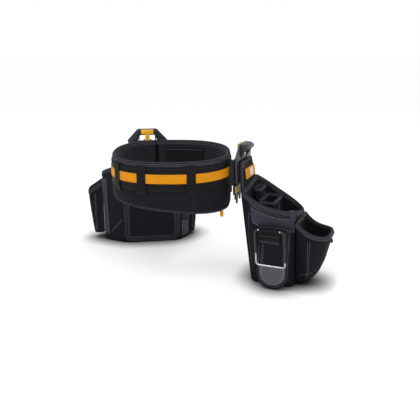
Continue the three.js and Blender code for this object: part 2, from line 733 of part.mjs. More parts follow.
function makeRightPouch(root) {
  const group = hubGroup(root, RIGHT);
  makeClip(group, 'right', RIGHT);
  piece(group, 'right_back_panel', leafPanel(RIGHT, 68, 234, RIGHT_NECK, 14), bagCloth);
  const main = pocket({
    outline: (z) => inset(rightMainOutline(z), GAP),
    bottom: 0,
    rim: rightRim,
  });
  piece(group, 'right_main_pocket', main, bagCloth);
  const driver = pocket({
    outline: boxPocketOutline(WALL + 3, WALL + 24, 6, 62, 7),
    bottom: 120,
    rim: () => 252,
    wall: 2.5,
  });
  piece(group, 'right_driver_pocket', driver, bagCloth);
  const divider = pocket({
    outline: boxPocketOutline(WALL + 26, WALL + 70, -30, 64, 10),
    bottom: 110,
    rim: () => 226,
    wall: 2.5,
  });
  piece(group, 'right_inner_pocket', divider, bagCloth);
  const front = pocket({ outline: frontPocketOutline, bottom: 7, rim: frontPocketRim, floor: WALL + 0.6 });
  piece(group, 'right_front_pocket', front, bagCloth);
  makeHammerHolder(group);
  const tag = leanGeometry(block(GAP, 1.6, -26, 58, 282, 312), RIGHT);
  piece(group, 'right_tag', tag, yellowPlastic);
  const patch = leanGeometry(block(1.6 + GAP, 2.6, 8, 34, 286, 308), RIGHT);
  piece(group, 'right_tag_patch', patch, whiteCloth);
  const tab = block(RIGHT_FRONT + GAP, RIGHT_FRONT + 3, -66, -50, 190.5, 216);
  piece(group, 'right_mouth_tab', tab, greyNylon);
}

// ---------------------------------------------------------------- left pouch
const LEFT_FRONT = 162;
const LEFT_HALF = 144;
const LEFT_MIDDLE = 5;           // middle of the pouch body, to the left of its clip
const LEFT_PANEL_HALF = 94;
const LEFT_NECK = { nearTop: 52, nearShoulder: 52, farTop: 52, farShoulder: 52 };

function leftRim(x) {
  return 212 + 52 * (Math.max(0, LEFT_FRONT - x) / 125) ** 2;
}

function leftMainOutline(z) {
  const back = backAt(LEFT, z);
  return roundOutline([
    [back, LEFT.shift - LEFT_PANEL_HALF, 6],
    [back + 42, LEFT_MIDDLE - LEFT_HALF, 12],
    [LEFT_FRONT, LEFT_MIDDLE - LEFT_HALF + 6, 22],
    [LEFT_FRONT, LEFT_MIDDLE + LEFT_HALF - 6, 22],
    [back + 42, LEFT_MIDDLE + LEFT_HALF, 12],
    [back, LEFT.shift + LEFT_PANEL_HALF, 6],
  ], 2);
}

// A slim pocket on the pouch's flank. side is 1 for the left flank and -1 for the right one.
function flankPocket(side, reach, bottom, lowRim, highRim) {
  const inner = LEFT_HALF + GAP + 0.5;
  const outline = (z) => {
    const open = Math.min(1, Math.max(0, (z - bottom) / (lowRim - bottom)));
    const outer = inner + reach * (0.7 + 0.3 * open);
    const corners = [
      [84, LEFT_MIDDLE + side * inner, 6],
      [84, LEFT_MIDDLE + side * outer, 12],
      [138, LEFT_MIDDLE + side * outer, 12],
      [138, LEFT_MIDDLE + side * inner, 6],
    ];
    return roundOutline(side > 0 ? corners.reverse() : corners, 3);
  };
  const rim = (x, y) => lowRim + (highRim - lowRim) * (1 - (Math.abs(y - LEFT_MIDDLE) - inner) / reach);
  return pocket({ outline, bottom, rim, wall: 3 });
}

function makeLeftPouch(root) {
  const group = hubGroup(root, LEFT);
  makeClip(group, 'left', LEFT);
  piece(group, 'left_back_panel', leafPanel(LEFT, LEFT_PANEL_HALF, 232, LEFT_NECK, 30), bagCloth);
  const main = pocket({
    outline: (z) => inset(leftMainOutline(z), GAP),
    bottom: 0,
    rim: leftRim,
  });
  piece(group, 'left_main_pocket', main, bagCloth);
  piece(group, 'left_outer_flank_pocket', flankPocket(1, 46, 22, 168, 198), bagCloth);
  piece(group, 'left_inner_flank_pocket', flankPocket(-1, 26, 10, 120, 138), bagCloth);
  const front = pocket({
    outline: (z) => roundOutline([
      [LEFT_FRONT + GAP, -88, 7],
      [LEFT_FRONT + 24 + 14 * Math.min(1, z / 140), -88, 16],
      [LEFT_FRONT + 24 + 14 * Math.min(1, z / 140), 88, 16],
      [LEFT_FRONT + GAP, 88, 7],
    ]),
    bottom: 2,
    rim: (x) => 142 + 18 * Math.max(0, LEFT_FRONT + 38 - x) / 38,
  });
  piece(group, 'left_front_pocket', front, bagCloth);
}

// ---------------------------------------------------------------- assembly
const toolBelt = new THREE.Group();
makePads(toolBelt);
makeWebbing(toolBelt);
makeBuckle(toolBelt);
makeHub(toolBelt, 'left', LEFT);
makeHub(toolBelt, 'right', RIGHT);
makeLeftPouch(toolBelt);
makeRightPouch(toolBelt);

export default toolBelt;
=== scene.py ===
import json
import math
from functools import partial

import bmesh
import bpy
import numpy as np
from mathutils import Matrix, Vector, noise


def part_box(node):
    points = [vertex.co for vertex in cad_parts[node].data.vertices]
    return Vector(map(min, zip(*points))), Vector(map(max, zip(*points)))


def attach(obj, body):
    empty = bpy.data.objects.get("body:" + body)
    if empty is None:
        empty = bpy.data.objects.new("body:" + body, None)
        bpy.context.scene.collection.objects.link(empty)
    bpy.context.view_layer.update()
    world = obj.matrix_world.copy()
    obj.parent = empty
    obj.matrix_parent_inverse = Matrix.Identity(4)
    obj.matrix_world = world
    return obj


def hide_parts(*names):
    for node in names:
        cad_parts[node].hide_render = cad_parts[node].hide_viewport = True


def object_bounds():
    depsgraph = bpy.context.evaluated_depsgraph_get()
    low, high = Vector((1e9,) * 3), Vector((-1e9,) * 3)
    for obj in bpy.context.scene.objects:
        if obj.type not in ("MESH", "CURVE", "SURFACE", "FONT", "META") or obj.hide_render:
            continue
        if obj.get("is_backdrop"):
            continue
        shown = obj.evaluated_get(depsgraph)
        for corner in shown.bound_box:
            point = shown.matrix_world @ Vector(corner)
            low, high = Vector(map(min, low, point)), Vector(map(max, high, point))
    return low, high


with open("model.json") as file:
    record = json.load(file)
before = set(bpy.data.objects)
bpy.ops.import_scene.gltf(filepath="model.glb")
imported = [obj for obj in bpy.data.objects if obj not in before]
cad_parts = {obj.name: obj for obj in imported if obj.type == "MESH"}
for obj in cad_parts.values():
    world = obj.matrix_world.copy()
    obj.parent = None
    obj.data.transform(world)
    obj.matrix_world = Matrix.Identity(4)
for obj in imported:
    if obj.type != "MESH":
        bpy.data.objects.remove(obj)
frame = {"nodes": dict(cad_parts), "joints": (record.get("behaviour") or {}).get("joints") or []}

CAD_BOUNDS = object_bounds()

# ---------------------------------------------------------------- driving dimensions, metres
RING_RADIUS = 0.1675          # half width of the waist ring at the outside of its padding
RING_POWER = 2.4              # 2 is a circle, more is squarer
PAD_INNER = -0.0117           # inside face of the lining, from the ring's line
PAD_SPLIT = -0.009            # where foam meets lining
RIM_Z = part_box("back_pad_top_binding")[1].z
WING_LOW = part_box("left_wing_pad_bottom_binding")[0].z
WEBBING_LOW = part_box("belt_webbing")[0].z
WEBBING_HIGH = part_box("belt_webbing")[1].z
WEBBING_OUT = 0.0026
STRIPE_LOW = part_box("belt_stripe")[0].z
STRIPE_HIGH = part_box("belt_stripe")[1].z
BACK_FROM, BACK_TO = 182.0, 352.0
LEFT_WING_FROM, RIGHT_WING_TO = 112.0, 468.0
WIDE_PAD_LOW, WIDE_PAD_SKEW = 0.214, 0.018
CORNER_LEFT, CORNER_RIGHT = 0.030, 0.016
SEAM_DEGREES = 1.1            # how wide a pad's seam pinches
KEEPER_WIDTH = 0.025
KEEPER_ANGLES = (150, 219, 246, 290, 385)
TAPE_WIDTH = 0.0105
MAIN_TAPE_WIDTH = 0.011       # round the mouths of both main pockets
TAPE_THICK = 0.0009
STITCH_LENGTH, STITCH_GAP, STITCH_RADIUS = 0.0034, 0.0016, 0.00042
FRONT_POCKET_Y = -0.008       # middle of the right front pocket, across its pouch
FOOT_ROWS = 6                 # rows in the rounded foot of a pocket
SLAB_LIFT = 0.0003            # gap under a patch or a seam's stitches
NECK_TOP = 0.335
PANEL_THICK = 0.007
PANEL_TOP = 0.028             # a back panel's outward face at the top of its neck
LEAN = {"right": 0.142, "left": 0.03}       # how far that face moves out for each metre down
SHIFT = {"right": 0.002, "left": -0.008}    # the panel's middle, across its pouch
# the main pockets: the outside of the front, and half widths across
RIGHT_FRONT, RIGHT_HALF = 0.190, 0.074
LEFT_FRONT, LEFT_HALF, LEFT_MIDDLE, LEFT_PANEL_HALF = 0.162, 0.144, 0.005, 0.094
FLANK_INNER = LEFT_HALF + 0.0008    # inner walls of the left pouch's end pockets, from its middle
HAMMER_X, HAMMER_HALF, HAMMER_TOP = 0.139, 0.046, 0.178
HAMMER_FACE, HAMMER_SPLAY = -0.081, 0.07    # the panel's inner face at its top, and its splay per metre
HAMMER_THICK, HAMMER_EDGE_THICK, HAMMER_FOOT = 0.009, 0.0045, 0.0015
HAMMER_PATCH_HALF, HAMMER_PATCH_TOP, HAMMER_PATCH_FOOT = 0.0365, 0.0700, 0.0130
# the second radius is that of the black tubes that make the loop's arms dark
WIRE_RADIUS, WIRE_DARK_TUBE_RADIUS = 0.0025, 0.0033
LOOP_Y, LOOP_Z = -0.101, 0.167              # the steel loop's top bar
LOOP_TOP_SHIFT, LOOP_FOOT_SHIFT = -0.012, 0.002
# half widths of each panel's neck: near and far side, at its top and at its shoulder
NECK = {"right": (0.047, 0.060), "left": (0.052, 0.052)}
PANEL_CORNER = {"right": 0.014, "left": 0.030}
CATCH_PIVOT_OUT = 0.008       # the catch's hinge, from its hub's origin
CAMERA_FROM_RING = (0.109, -1.690, 0.688)
CAMERA_DOWN = 17.0            # degrees
CAMERA_LENS = 51.43           # millimetres

UP = np.array((0.0, 0.0, 1.0))
webbing_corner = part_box("belt_webbing")[0]
RING_CENTRE = np.array((webbing_corner.x, webbing_corner.y)) + RING_RADIUS + WEBBING_OUT


def linked(name, data):
    obj = bpy.data.objects.new(name, data)
    bpy.context.scene.collection.objects.link(obj)
    return obj


def make_camera():
    camera = linked("camera", bpy.data.cameras.new("camera"))
    camera.data.lens = CAMERA_LENS
    camera.location = np.append(RING_CENTRE, 0.0) + CAMERA_FROM_RING
    camera.rotation_euler = (math.radians(90 - CAMERA_DOWN), 0, 0)
    bpy.context.scene.camera = camera


# ---------------------------------------------------------------- materials
class Nodes:
    """A material's node tree with short ways to add and join nodes."""

    def __init__(self, name):
        self.material = bpy.data.materials.new(name)
        self.material.use_nodes = True
        self.tree = self.material.node_tree
        self.shader = self.tree.nodes["Principled BSDF"]

    def add(self, kind, **values):
        node = self.tree.nodes.new(kind)
        for key, value in values.items():
            setattr(node, key, value)
        return node

    def feed(self, node, **inputs):
        for key, value in inputs.items():
            socket = node.inputs[int(key[1:])] if key[1:].isdigit() else node.inputs[key.replace("_", " ")]
            if isinstance(value, bpy.types.NodeSocket):
                self.tree.links.new(value, socket)
            else:
                socket.default_value = value
        return node

    def math(self, operation, a, b=0.0):
        return self.feed(self.add("ShaderNodeMath", operation=operation), _0=a, _1=b).outputs[0]

    def coords(self, source):
        return self.add("ShaderNodeTexCoord").outputs[source]

    def noise(self, vector, scale, detail=3.0, roughness=0.55):
        node = self.feed(
            self.add("ShaderNodeTexNoise"), Vector=vector, Scale=scale, Detail=detail, Roughness=roughness,
        )
        return node.outputs["Fac"]

    def ramp(self, factor, low, high, colour_low, colour_high):
        node = self.feed(self.add("ShaderNodeValToRGB"), Fac=factor)
        ends = node.color_ramp.elements
        ends[0].position, ends[1].position = low, high
        ends[0].color, ends[1].color = (*colour_low, 1), (*colour_high, 1)
        return node.outputs["Color"]

    def grey(self, factor, low, high, dark, pale):
        return self.ramp(factor, low, high, (dark,) * 3, (pale,) * 3)

    def spread(self, value, low, high, to_low, to_high):
        node = self.add("ShaderNodeMapRange")
        self.feed(node, Value=value, From_Min=low, From_Max=high, To_Min=to_low, To_Max=to_high)
        return node.outputs[0]

    def mix(self, factor, a, b):
        node = self.add("ShaderNodeMix", data_type="RGBA")
        self.feed(node, _0=factor)
        for socket, value in ((node.inputs[6], a), (node.inputs[7], b)):
            if isinstance(value, bpy.types.NodeSocket):
                self.tree.links.new(value, socket)
            else:
                socket.default_value = (*value, 1)
        return node.outputs[2]

    def bump(self, height, distance, strength, normal=None):
        node = self.feed(self.add("ShaderNodeBump"), Height=height, Distance=distance, Strength=strength)
        if normal is not None:
            self.feed(node, Normal=normal)
        return node.outputs["Normal"]

    def finish(self, colour, roughness, normal):
        self.feed(self.shader, Base_Color=colour, Roughness=roughness, Normal=normal)
        return self.material


def linear(red, green, blue):
    def one(value):
        value /= 255
        return value / 12.92 if value <= 0.04045 else ((value + 0.055) / 1.055) ** 2.4
    return one(red), one(green), one(blue)


def scaled(colour, factor):
    return tuple(min(1.0, channel * factor) for channel in colour)


def cloth(name, colour, pitch, depth=0.00035, roughness=0.82, ribbed=0.0, wear=0.5):
    """Plain weave, or with ribbed above 0 a webbing whose ribs run across it; UVs are in metres."""
    n = Nodes(name)
    uv = n.coords("UV")
    parts = n.feed(n.add("ShaderNodeSeparateXYZ"), Vector=uv)
    turns = 2 * math.pi / pitch
    across = n.math("SINE", n.math("MULTIPLY", parts.outputs[0], turns))
    along = n.math("SINE", n.math("MULTIPLY", parts.outputs[1], turns * (1 - 0.5 * ribbed)))
    threads = n.math("MULTIPLY", across, along)
    ribs = n.math("ADD", n.math("MULTIPLY", threads, 1 - ribbed), n.math("MULTIPLY", across, ribbed))
    height = n.math("ADD", n.math("MULTIPLY", ribs, 0.5), 0.5)
    place = n.coords("Object")
    cloudy = n.noise(place, 14.0, 4.0)
    fuzz = n.noise(place, 420.0, 2.0)
    creases = n.noise(place, 38.0, 5.0, 0.6)
    woven = n.ramp(height, 0.15, 0.95, scaled(colour, 0.62), scaled(colour, 1.28))
    dusty = n.ramp(cloudy, 0.42, 0.72, scaled(colour, 0.85), scaled(colour, 1.0 + 0.9 * wear))
    base = n.mix(0.42, woven, dusty)
    speck = n.ramp(fuzz, 0.50, 0.80, scaled(colour, 0.95), scaled(colour, 1.0 + 1.1 * wear))
    base = n.mix(0.22, base, speck)
    rough = n.spread(cloudy, 0.3, 0.7, roughness - 0.07, roughness + 0.06)
    soft = n.bump(creases, 0.0016, 0.55)
    normal = n.bump(height, depth, 0.8, soft)
    tint = (*scaled(colour, 3.0), 1)
    n.feed(n.shader, Sheen_Weight=0.05, Sheen_Roughness=0.45, Sheen_Tint=tint, Specular_IOR_Level=0.14)
    return n.finish(base, rough, normal)


def spacer_mesh(name, colour):
    """Lining net: small open cells, painted dark inside as the shade that falls in them."""
    n = Nodes(name)
    uv = n.coords("UV")
    cells = n.add("ShaderNodeTexVoronoi", feature="DISTANCE_TO_EDGE")
    n.feed(cells, Vector=uv, Scale=330.0, Randomness=0.25)
    net = n.math("SMOOTH_MIN", cells.outputs["Distance"], 0.25)
    hole = n.math("MULTIPLY", net, 4.0)
    cord = n.math("SUBTRACT", 1.0, hole)
    cloudy = n.noise(n.coords("Object"), 18.0, 4.0)
    # painted shade: the open cells go down to a third of the cord colour
    base = n.ramp(hole, 0.25, 0.85, scaled(colour, 1.35), scaled(colour, 0.30))
    dusty = n.ramp(cloudy, 0.35, 0.75, scaled(colour, 0.8), scaled(colour, 1.3))
    base = n.mix(0.3, base, dusty)
    n.feed(n.shader, Sheen_Weight=0.04, Sheen_Roughness=0.5, Specular_IOR_Level=0.14)
    folds = n.bump(n.noise(n.coords("Object"), 45.0, 4.0), 0.0015, 0.5)
    rough = n.grey(cloudy, 0.3, 0.7, 0.78, 0.92)
    return n.finish(base, rough, n.bump(cord, 0.0006, 0.8, folds))


def moulded(name, colour, roughness=0.42, wear=0.25):
    """Moulded plastic: fine spark texture, faint scuffs and slightly paler handled areas."""
    n = Nodes(name)
    place = n.coords("Object")
    fine = n.noise(place, 900.0, 2.0)
    broad = n.noise(place, 22.0, 5.0, 0.62)
    scuffs = n.add("ShaderNodeTexWave", wave_type="BANDS")
    n.feed(scuffs, Vector=place, Scale=55.0, Distortion=22.0, Detail=4.0)
    scratch = n.ramp(scuffs.outputs["Fac"], 0.93, 1.0, (0, 0, 0), (1, 1, 1))
    base = n.ramp(broad, 0.35, 0.75, scaled(colour, 0.85), scaled(colour, 1.2))
    base = n.mix(n.math("MULTIPLY", scratch, wear), base, scaled(colour, 2.2))
    rough = n.spread(broad, 0.3, 0.75, roughness - 0.08, roughness + 0.12)
    return n.finish(base, rough, n.bump(fine, 0.00012, 0.6))


def rubber_patch(name, colour):
    """Glossy coated patch with a fine pebble and rubbed streaks."""
    n = Nodes(name)
    place = n.coords("Object")
    pebble = n.feed(n.add("ShaderNodeTexVoronoi"), Vector=place, Scale=650.0)
    broad = n.noise(place, 30.0, 5.0, 0.6)
    base = n.ramp(broad, 0.35, 0.75, scaled(colour, 0.8), scaled(colour, 1.35))
    rough = n.grey(broad, 0.3, 0.8, 0.30, 0.48)
    n.feed(n.shader, Coat_Weight=0.25, Coat_Roughness=0.35)
    return n.finish(base, rough, n.bump(pebble.outputs["Distance"], 0.00015, 0.6))


def plated_steel(name):
    """Bright wire with a faint haze and fine drawing marks."""
    n = Nodes(name)
    place = n.coords("Object")
    haze = n.noise(place, 60.0, 4.0)
    drawn = n.feed(n.add("ShaderNodeTexNoise"), Vector=place, Scale=900.0, Detail=2.0)
    base = n.ramp(haze, 0.3, 0.75, (0.30, 0.31, 0.33), (0.52, 0.53, 0.55))
    rough = n.grey(haze, 0.3, 0.8, 0.18, 0.32)
    n.feed(n.shader, Metallic=1.0)
    return n.finish(base, rough, n.bump(drawn.outputs["Fac"], 0.00004, 0.5))


def thread(name, colour):
    """Twisted sewing thread."""
    n = Nodes(name)
    place = n.coords("Object")
    twist = n.feed(n.add("ShaderNodeTexWave"), Vector=place, Scale=900.0, Distortion=2.0)
    shade = n.noise(place, 90.0, 2.0)
    base = n.ramp(shade, 0.3, 0.7, scaled(colour, 0.8), scaled(colour, 1.25))
    rough = n.grey(shade, 0.3, 0.7, 0.5, 0.65)
    return n.finish(base, rough, n.bump(twist.outputs["Fac"], 0.0001, 0.5))


PAD_CLOTH = cloth("pad_cloth", linear(21, 21, 26), pitch=0.0012)
BAG_CLOTH = cloth("bag_cloth", linear(21, 21, 27), pitch=0.0013, depth=0.0004)
DARK_CLOTH = cloth("dark_cloth", linear(15, 15, 18), pitch=0.0012)
TAPE_CLOTH = cloth("binding_tape", linear(37, 38, 43), pitch=0.0009, roughness=0.7, ribbed=0.6, wear=0.3)
DARK_TAPE = cloth("dark_tape", linear(22, 22, 26), pitch=0.0009, roughness=0.7, ribbed=0.6, wear=0.3)
WEB_CLOTH = cloth(
    "web_cloth", linear(15, 15, 18), pitch=0.0016, depth=0.0005, roughness=0.62, ribbed=0.5, wear=0.35,
)
STRIPE_CLOTH = cloth(
    "stripe_cloth", linear(214, 139, 5), pitch=0.0014, depth=0.0004, roughness=0.6, ribbed=0.5, wear=0.12,
)
GREY_NYLON = cloth("grey_nylon", linear(50, 51, 61), pitch=0.0008, depth=0.00015, roughness=0.5, wear=0.25)
LABEL_CLOTH = cloth("label_cloth", linear(225, 224, 218), pitch=0.0007, roughness=0.75, wear=0.1)
LINING = spacer_mesh("lining_mesh", linear(30, 30, 35))
BLACK_PLASTIC = moulded("black_plastic", linear(18, 18, 21))
# painted highlight: the clips' black plastic is painted paler than the hub's, standing in for the light on
# their shiny tops
HIGHLIGHT_PAINTED_PLASTIC = moulded("black_plastic_painted_highlight", linear(34, 35, 42), roughness=0.36)
YELLOW_PLASTIC = moulded("yellow_plastic", linear(246, 176, 30), roughness=0.38, wear=0.1)
COATED_PATCH = rubber_patch("coated_patch", linear(52, 55, 65))
STEEL = plated_steel("steel")
PALE_THREAD = thread("pale_thread", linear(122, 123, 132))
DARK_THREAD = thread("dark_thread", linear(36, 36, 41))
GOLD_THREAD = thread("gold_thread", linear(196, 128, 18))


# ---------------------------------------------------------------- mesh helpers
def new_object(name, vertices, faces, material, uv=None, sharp=None):
    mesh = bpy.data.meshes.new(name)
    mesh.from_pydata([tuple(v) for v in np.asarray(vertices, float)], [], faces)
    if uv is not None:
        layer = mesh.uv_layers.new(name="UVMap")
        layer.data.foreach_set("uv", np.asarray(uv, np.float32).ravel())
    smooth(mesh)
    mesh.materials.append(material)
    obj = linked(name, mesh)
    if sharp is not None:
        mesh.set_sharp_from_angle(angle=math.radians(sharp))
    face_outwards(obj)
    return obj


def smooth(mesh):
    for polygon in mesh.polygons:
        polygon.use_smooth = True


def face_outwards(obj):
    work = bmesh.new()
    work.from_mesh(obj.data)
    bmesh.ops.recalc_face_normals(work, faces=work.faces)
    work.to_mesh(obj.data)
    work.free()


def add_piece(obj, body, slot, replaces=()):
    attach(obj, body)
    if replaces:
        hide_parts(*replaces)


def running_total(steps):
    return np.concatenate(([0], np.cumsum(steps)))


def loft(name, loops, material, sharp, closed=False):
    """A closed skin through equal closed loops; the ends are capped unless the loops join up."""
    loops = np.asarray(loops, float)
    rows, columns = loops.shape[:2]
    along = running_total(np.linalg.norm(np.diff(loops, axis=0), axis=2).mean(axis=1))
    around = running_total(np.linalg.norm(np.roll(loops, -1, axis=1) - loops, axis=2).mean(axis=0))
    if closed:
        joint = np.linalg.norm(loops[0] - loops[-1], axis=1).mean()
        along = np.append(along, along[-1] + joint)
    vertices = loops.reshape(-1, 3)
    faces, uv = [], []
    for i in range(rows if closed else rows - 1):
        for j in range(columns):
            k, m = (i + 1) % rows, (j + 1) % columns
            faces.append((i * columns + j, k * columns + j, k * columns + m, i * columns + m))
            uv += [(along[i], around[j]), (along[i + 1], around[j])]
            uv += [(along[i + 1], around[j + 1]), (along[i], around[j + 1])]
    if not closed:
        vertices = np.vstack((vertices, loops[0].mean(axis=0), loops[-1].mean(axis=0)))
        for end, centre in ((0, rows * columns), (rows - 1, rows * columns + 1)):
            add_cap(loops[end], end * columns, vertices[centre], centre, faces, uv)
    return new_object(name, vertices, faces, material, uv, sharp)


def add_cap(loop, first, middle, centre, faces, uv):
    """A fan of faces over a loop, with UVs in its plane; first and centre are vertex numbers."""
    columns = len(loop)
    axis_a = loop[0] - middle
    axis_a /= max(np.linalg.norm(axis_a), 1e-9)
    axis_b = loop[columns // 4] - middle
    axis_b -= axis_a * axis_b.dot(axis_a)
    axis_b /= max(np.linalg.norm(axis_b), 1e-9)
    for j in range(columns):
        m = (j + 1) % columns
        faces.append((centre, first + j, first + m))
        for point in (middle, loop[j], loop[m]):
            uv.append(((point - middle).dot(axis_a), (point - middle).dot(axis_b)))


def unit(vectors):
    vectors = np.asarray(vectors, float)
    return vectors / np.maximum(np.linalg.norm(vectors, axis=-1, keepdims=True), 1e-12)


def tangents(points, closed=False):
    if closed:
        return unit(np.roll(points, -1, axis=0) - np.roll(points, 1, axis=0))
    return unit(np.gradient(points, axis=0))


def travelled(points):
    """The distance along a path at each of its points."""
    return running_total(np.linalg.norm(np.diff(points, axis=0), axis=1))


def resampled(field, travel, at):
    return np.stack([np.interp(at, travel, field[:, k]) for k in range(3)], axis=1)


def spaced(points, spacing, closed=False, *fields):
    """The same path at even spacing, with any vectors that go with its points."""
    points = np.asarray(points, float)
    if closed:
        points = np.vstack((points, points[:1]))
        fields = [np.vstack((field, field[:1])) for field in fields]
    travel = travelled(points)
    count = max(3, int(round(travel[-1] / spacing)))
    at = np.linspace(0, travel[-1], count + 1)
    if closed:
        at = at[:-1]
    return [resampled(field, travel, at) for field in (points, *fields)]


def smooth_noise(point, scale, seed):
    return noise.noise(Vector(point) * scale + Vector((seed * 7.3, seed * 3.1, seed * 5.7)))


def edge_tape(
    name, path, side, edge, half_thick, body,
    material=TAPE_CLOTH, width=TAPE_WIDTH, closed=False, replaces=(),
):
    """Binding folded over an edge. side is the sheet's normal, edge points out of the sheet in its plane."""
    path, side, edge = spaced(path, 0.003, closed, side, edge)
    side = unit(side)
    along = tangents(path, closed)
    edge = unit(edge - along * (edge * along).sum(axis=1)[:, None])
    h, t, w = half_thick, TAPE_THICK, width
    outer = [(h + t, -w), (h + t * 1.3, -w * 0.55), (h + t, -w * 0.15)]
    turn = np.linspace(0.15, math.pi - 0.15, 7)
    bend = [(math.cos(a) * (h + t), math.sin(a) * (h + t) * 0.7) for a in turn]
    profile = outer + bend + [(-x, y) for x, y in reversed(outer)]
    profile += [(-h, -w), (-h, -w * 0.4), (0, -w * 0.25), (h, -w * 0.4), (h, -w)]
    loops = [[p + s * x + e * y for x, y in profile] for p, s, e in zip(path, side, edge)]
    add_piece(loft(name, loops, material, 60, closed), body, "binding_tape", replaces)
    rows = []
    for sign in (1, -1):
        for depth in (0.27, 0.75):
            rows.append((path + side * sign * (h + t * 1.25) - edge * w * depth, side * sign))
    stitch_rows(f"{name}_stitches", rows, body, "binding_tape", PALE_THREAD, closed)


def stitch_template():
    """One stitch, a flattened lens along x, as (points, faces)."""
    length, radius = STITCH_LENGTH, STITCH_RADIUS
    rings = ((-0.34, 0.75), (0.0, 1.0), (0.34, 0.75))
    points = []
    for x, r in rings:
        for a in np.linspace(0, 2 * math.pi, 7)[:-1]:
            points.append((x * length, radius * r * math.cos(a), 0.75 * radius * r * math.sin(a)))
    points += [(-0.5 * length, 0, 0), (0.5 * length, 0, 0)]
    faces = []
    for ring in range(2):
        for j in range(6):
            a, b = ring * 6 + j, ring * 6 + (j + 1) % 6
            faces.append((a, b, b + 6, a + 6))
    for j in range(6):
        faces.append((18, (j + 1) % 6, j))
        faces.append((19, 12 + j, 12 + (j + 1) % 6))
    return np.array(points), faces


def stitch_rows(name, rows, body, slot, material, closed=False):
    """Rows of single stitches: each row is (points, normals)."""
    template, template_faces = stitch_template()
    vertices, faces = [], []
    for points, normals in rows:
        points, normals = spaced(points, STITCH_LENGTH + STITCH_GAP, closed, normals)
        along = tangents(points, closed)
        normals = unit(normals - along * (normals * along).sum(axis=1)[:, None])
        across = np.cross(normals, along)
        for p, a, c, n in zip(points, along, across, normals):
            start = len(vertices) * len(template)
            vertices.append(p + template[:, :1] * a + template[:, 1:2] * c + template[:, 2:] * n)
            faces += [tuple(start + k for k in face) for face in template_faces]
    add_piece(new_object(name, np.vstack(vertices), faces, material), body, slot)


class Surface:
    """A closed wall's grid of points and outward normals; s runs up it and t round it, both 0 to 1."""

    def __init__(self, grid):
        self.grid = grid
        down = np.gradient(grid, axis=0)
        over = np.roll(grid, -1, axis=1) - np.roll(grid, 1, axis=1)
        self.normals = unit(np.cross(over, down))

    def at(self, s, t, field=None):
        field = self.grid if field is None else field
        rows, columns = field.shape[:2]
        y = min(max(s, 0.0), 1.0) * (rows - 1)
        x = (t % 1.0) * columns
        i, j = min(int(y), rows - 2), int(x)
        k = (j + 1) % columns
        j %= columns
        fy, fx = y - i, x - int(x)
        top = field[i][j] * (1 - fx) + field[i][k] * fx
        low = field[i + 1][j] * (1 - fx) + field[i + 1][k] * fx
        return top * (1 - fy) + low * fy

    def normal(self, s, t):
        return unit(self.at(s, t, self.normals))

    def line(self, spots, lift):
        normals = np.array([self.normal(s, t) for s, t in spots])
        return np.array([self.at(s, t) for s, t in spots]) + normals * lift, normals

    def slab(self, name, s_range, t_range, thick, material, steps):
        """A closed sheet laid on the surface."""
        rows, columns = steps[0] + 1, steps[1] + 1
        front, back = [], []
        for s in np.linspace(*s_range, rows):
            for t in np.linspace(*t_range, columns):
                point, normal = self.at(s, t), self.normal(s, t)
                back.append(point + normal * SLAB_LIFT)
                front.append(point + normal * (SLAB_LIFT + thick))
        return slab_mesh(name, front, back, rows, columns, material)


def slab_mesh(name, front, back, rows, columns, material):
    front, back = np.array(front), np.array(back)
    grid = front.reshape(rows, columns, 3)
    across = running_total(np.linalg.norm(np.diff(grid, axis=1), axis=2).mean(axis=0))
    down = running_total(np.linalg.norm(np.diff(grid, axis=0), axis=2).mean(axis=1))
    count = rows * columns
    place = [(across[i % columns], down[i // columns]) for i in range(count)] * 2
    faces = []
    for i in range(rows - 1):
        for j in range(columns - 1):
            a = i * columns + j
            faces.append((a, a + 1, a + columns + 1, a + columns))
            faces.append((count + a, count + a + columns, count + a + columns + 1, count + a + 1))
    border = list(range(columns))
    border += [i * columns + columns - 1 for i in range(1, rows)]
    border += [(rows - 1) * columns + j for j in range(columns - 2, -1, -1)]
    border += [i * columns for i in range(rows - 2, 0, -1)]
    for a, b in zip(border, border[1:] + border[:1]):
        faces.append((a, count + a, count + b, b))
    uv = [place[v] for face in faces for v in face]
    return new_object(name, np.vstack((front, back)), faces, material, uv, sharp=50)


def refined(node, material, body, slot, bevel=0.0007, segments=2):
    """The CAD piece with its flats merged and its edges rounded."""
    source = frame["nodes"][node]
    work = bmesh.new()
    work.from_mesh(source.data)
    bmesh.ops.remove_doubles(work, verts=work.verts, dist=1e-6)
    bmesh.ops.dissolve_limit(work, angle_limit=math.radians(1), verts=work.verts, edges=work.edges)
    mesh = bpy.data.meshes.new(f"{node}_fine")
    work.to_mesh(mesh)
    work.free()
    mesh.materials.append(material)
    obj = linked(f"{node}_fine", mesh)
    rounding = obj.modifiers.new("bevel", "BEVEL")
    rounding.width, rounding.segments = bevel, segments
    rounding.limit_method, rounding.angle_limit = "ANGLE", math.radians(25)
    apply_modifiers(obj)
    smooth(obj.data)
    obj.data.set_sharp_from_angle(angle=math.radians(35))
    add_piece(obj, body, slot, (node,))


def apply_modifiers(obj):
    graph = bpy.context.evaluated_depsgraph_get()
    mesh = bpy.data.meshes.new_from_object(obj.evaluated_get(graph))
    obj.modifiers.clear()
    old = obj.data
    obj.data = mesh
    bpy.data.meshes.remove(old)


# ---------------------------------------------------------------- the waist ring
def ring_spot(angle, offset, z):
    """A point at an angle in degrees round the ring, and the way out from the ring there."""
    cos, sin = math.cos(math.radians(angle)), math.sin(math.radians(angle))
    size = (abs(cos) ** RING_POWER + abs(sin) ** RING_POWER) ** (-1 / RING_POWER)
    out = np.array((
        math.copysign(abs(cos) ** (RING_POWER - 1), cos),
        math.copysign(abs(sin) ** (RING_POWER - 1), sin),
        0.0,
    ))
    out /= np.linalg.norm(out)
    x, y = RING_CENTRE + RING_RADIUS * size * np.array((cos, sin))
    return np.array((x, y, z)) + offset * out, out


def ring_line(spots):
    """Points and outward directions of places (angle, offset, z) round the ring."""
    found = [ring_spot(*spot) for spot in spots]
    return np.array([point for point, _ in found]), np.array([out for _, out in found])


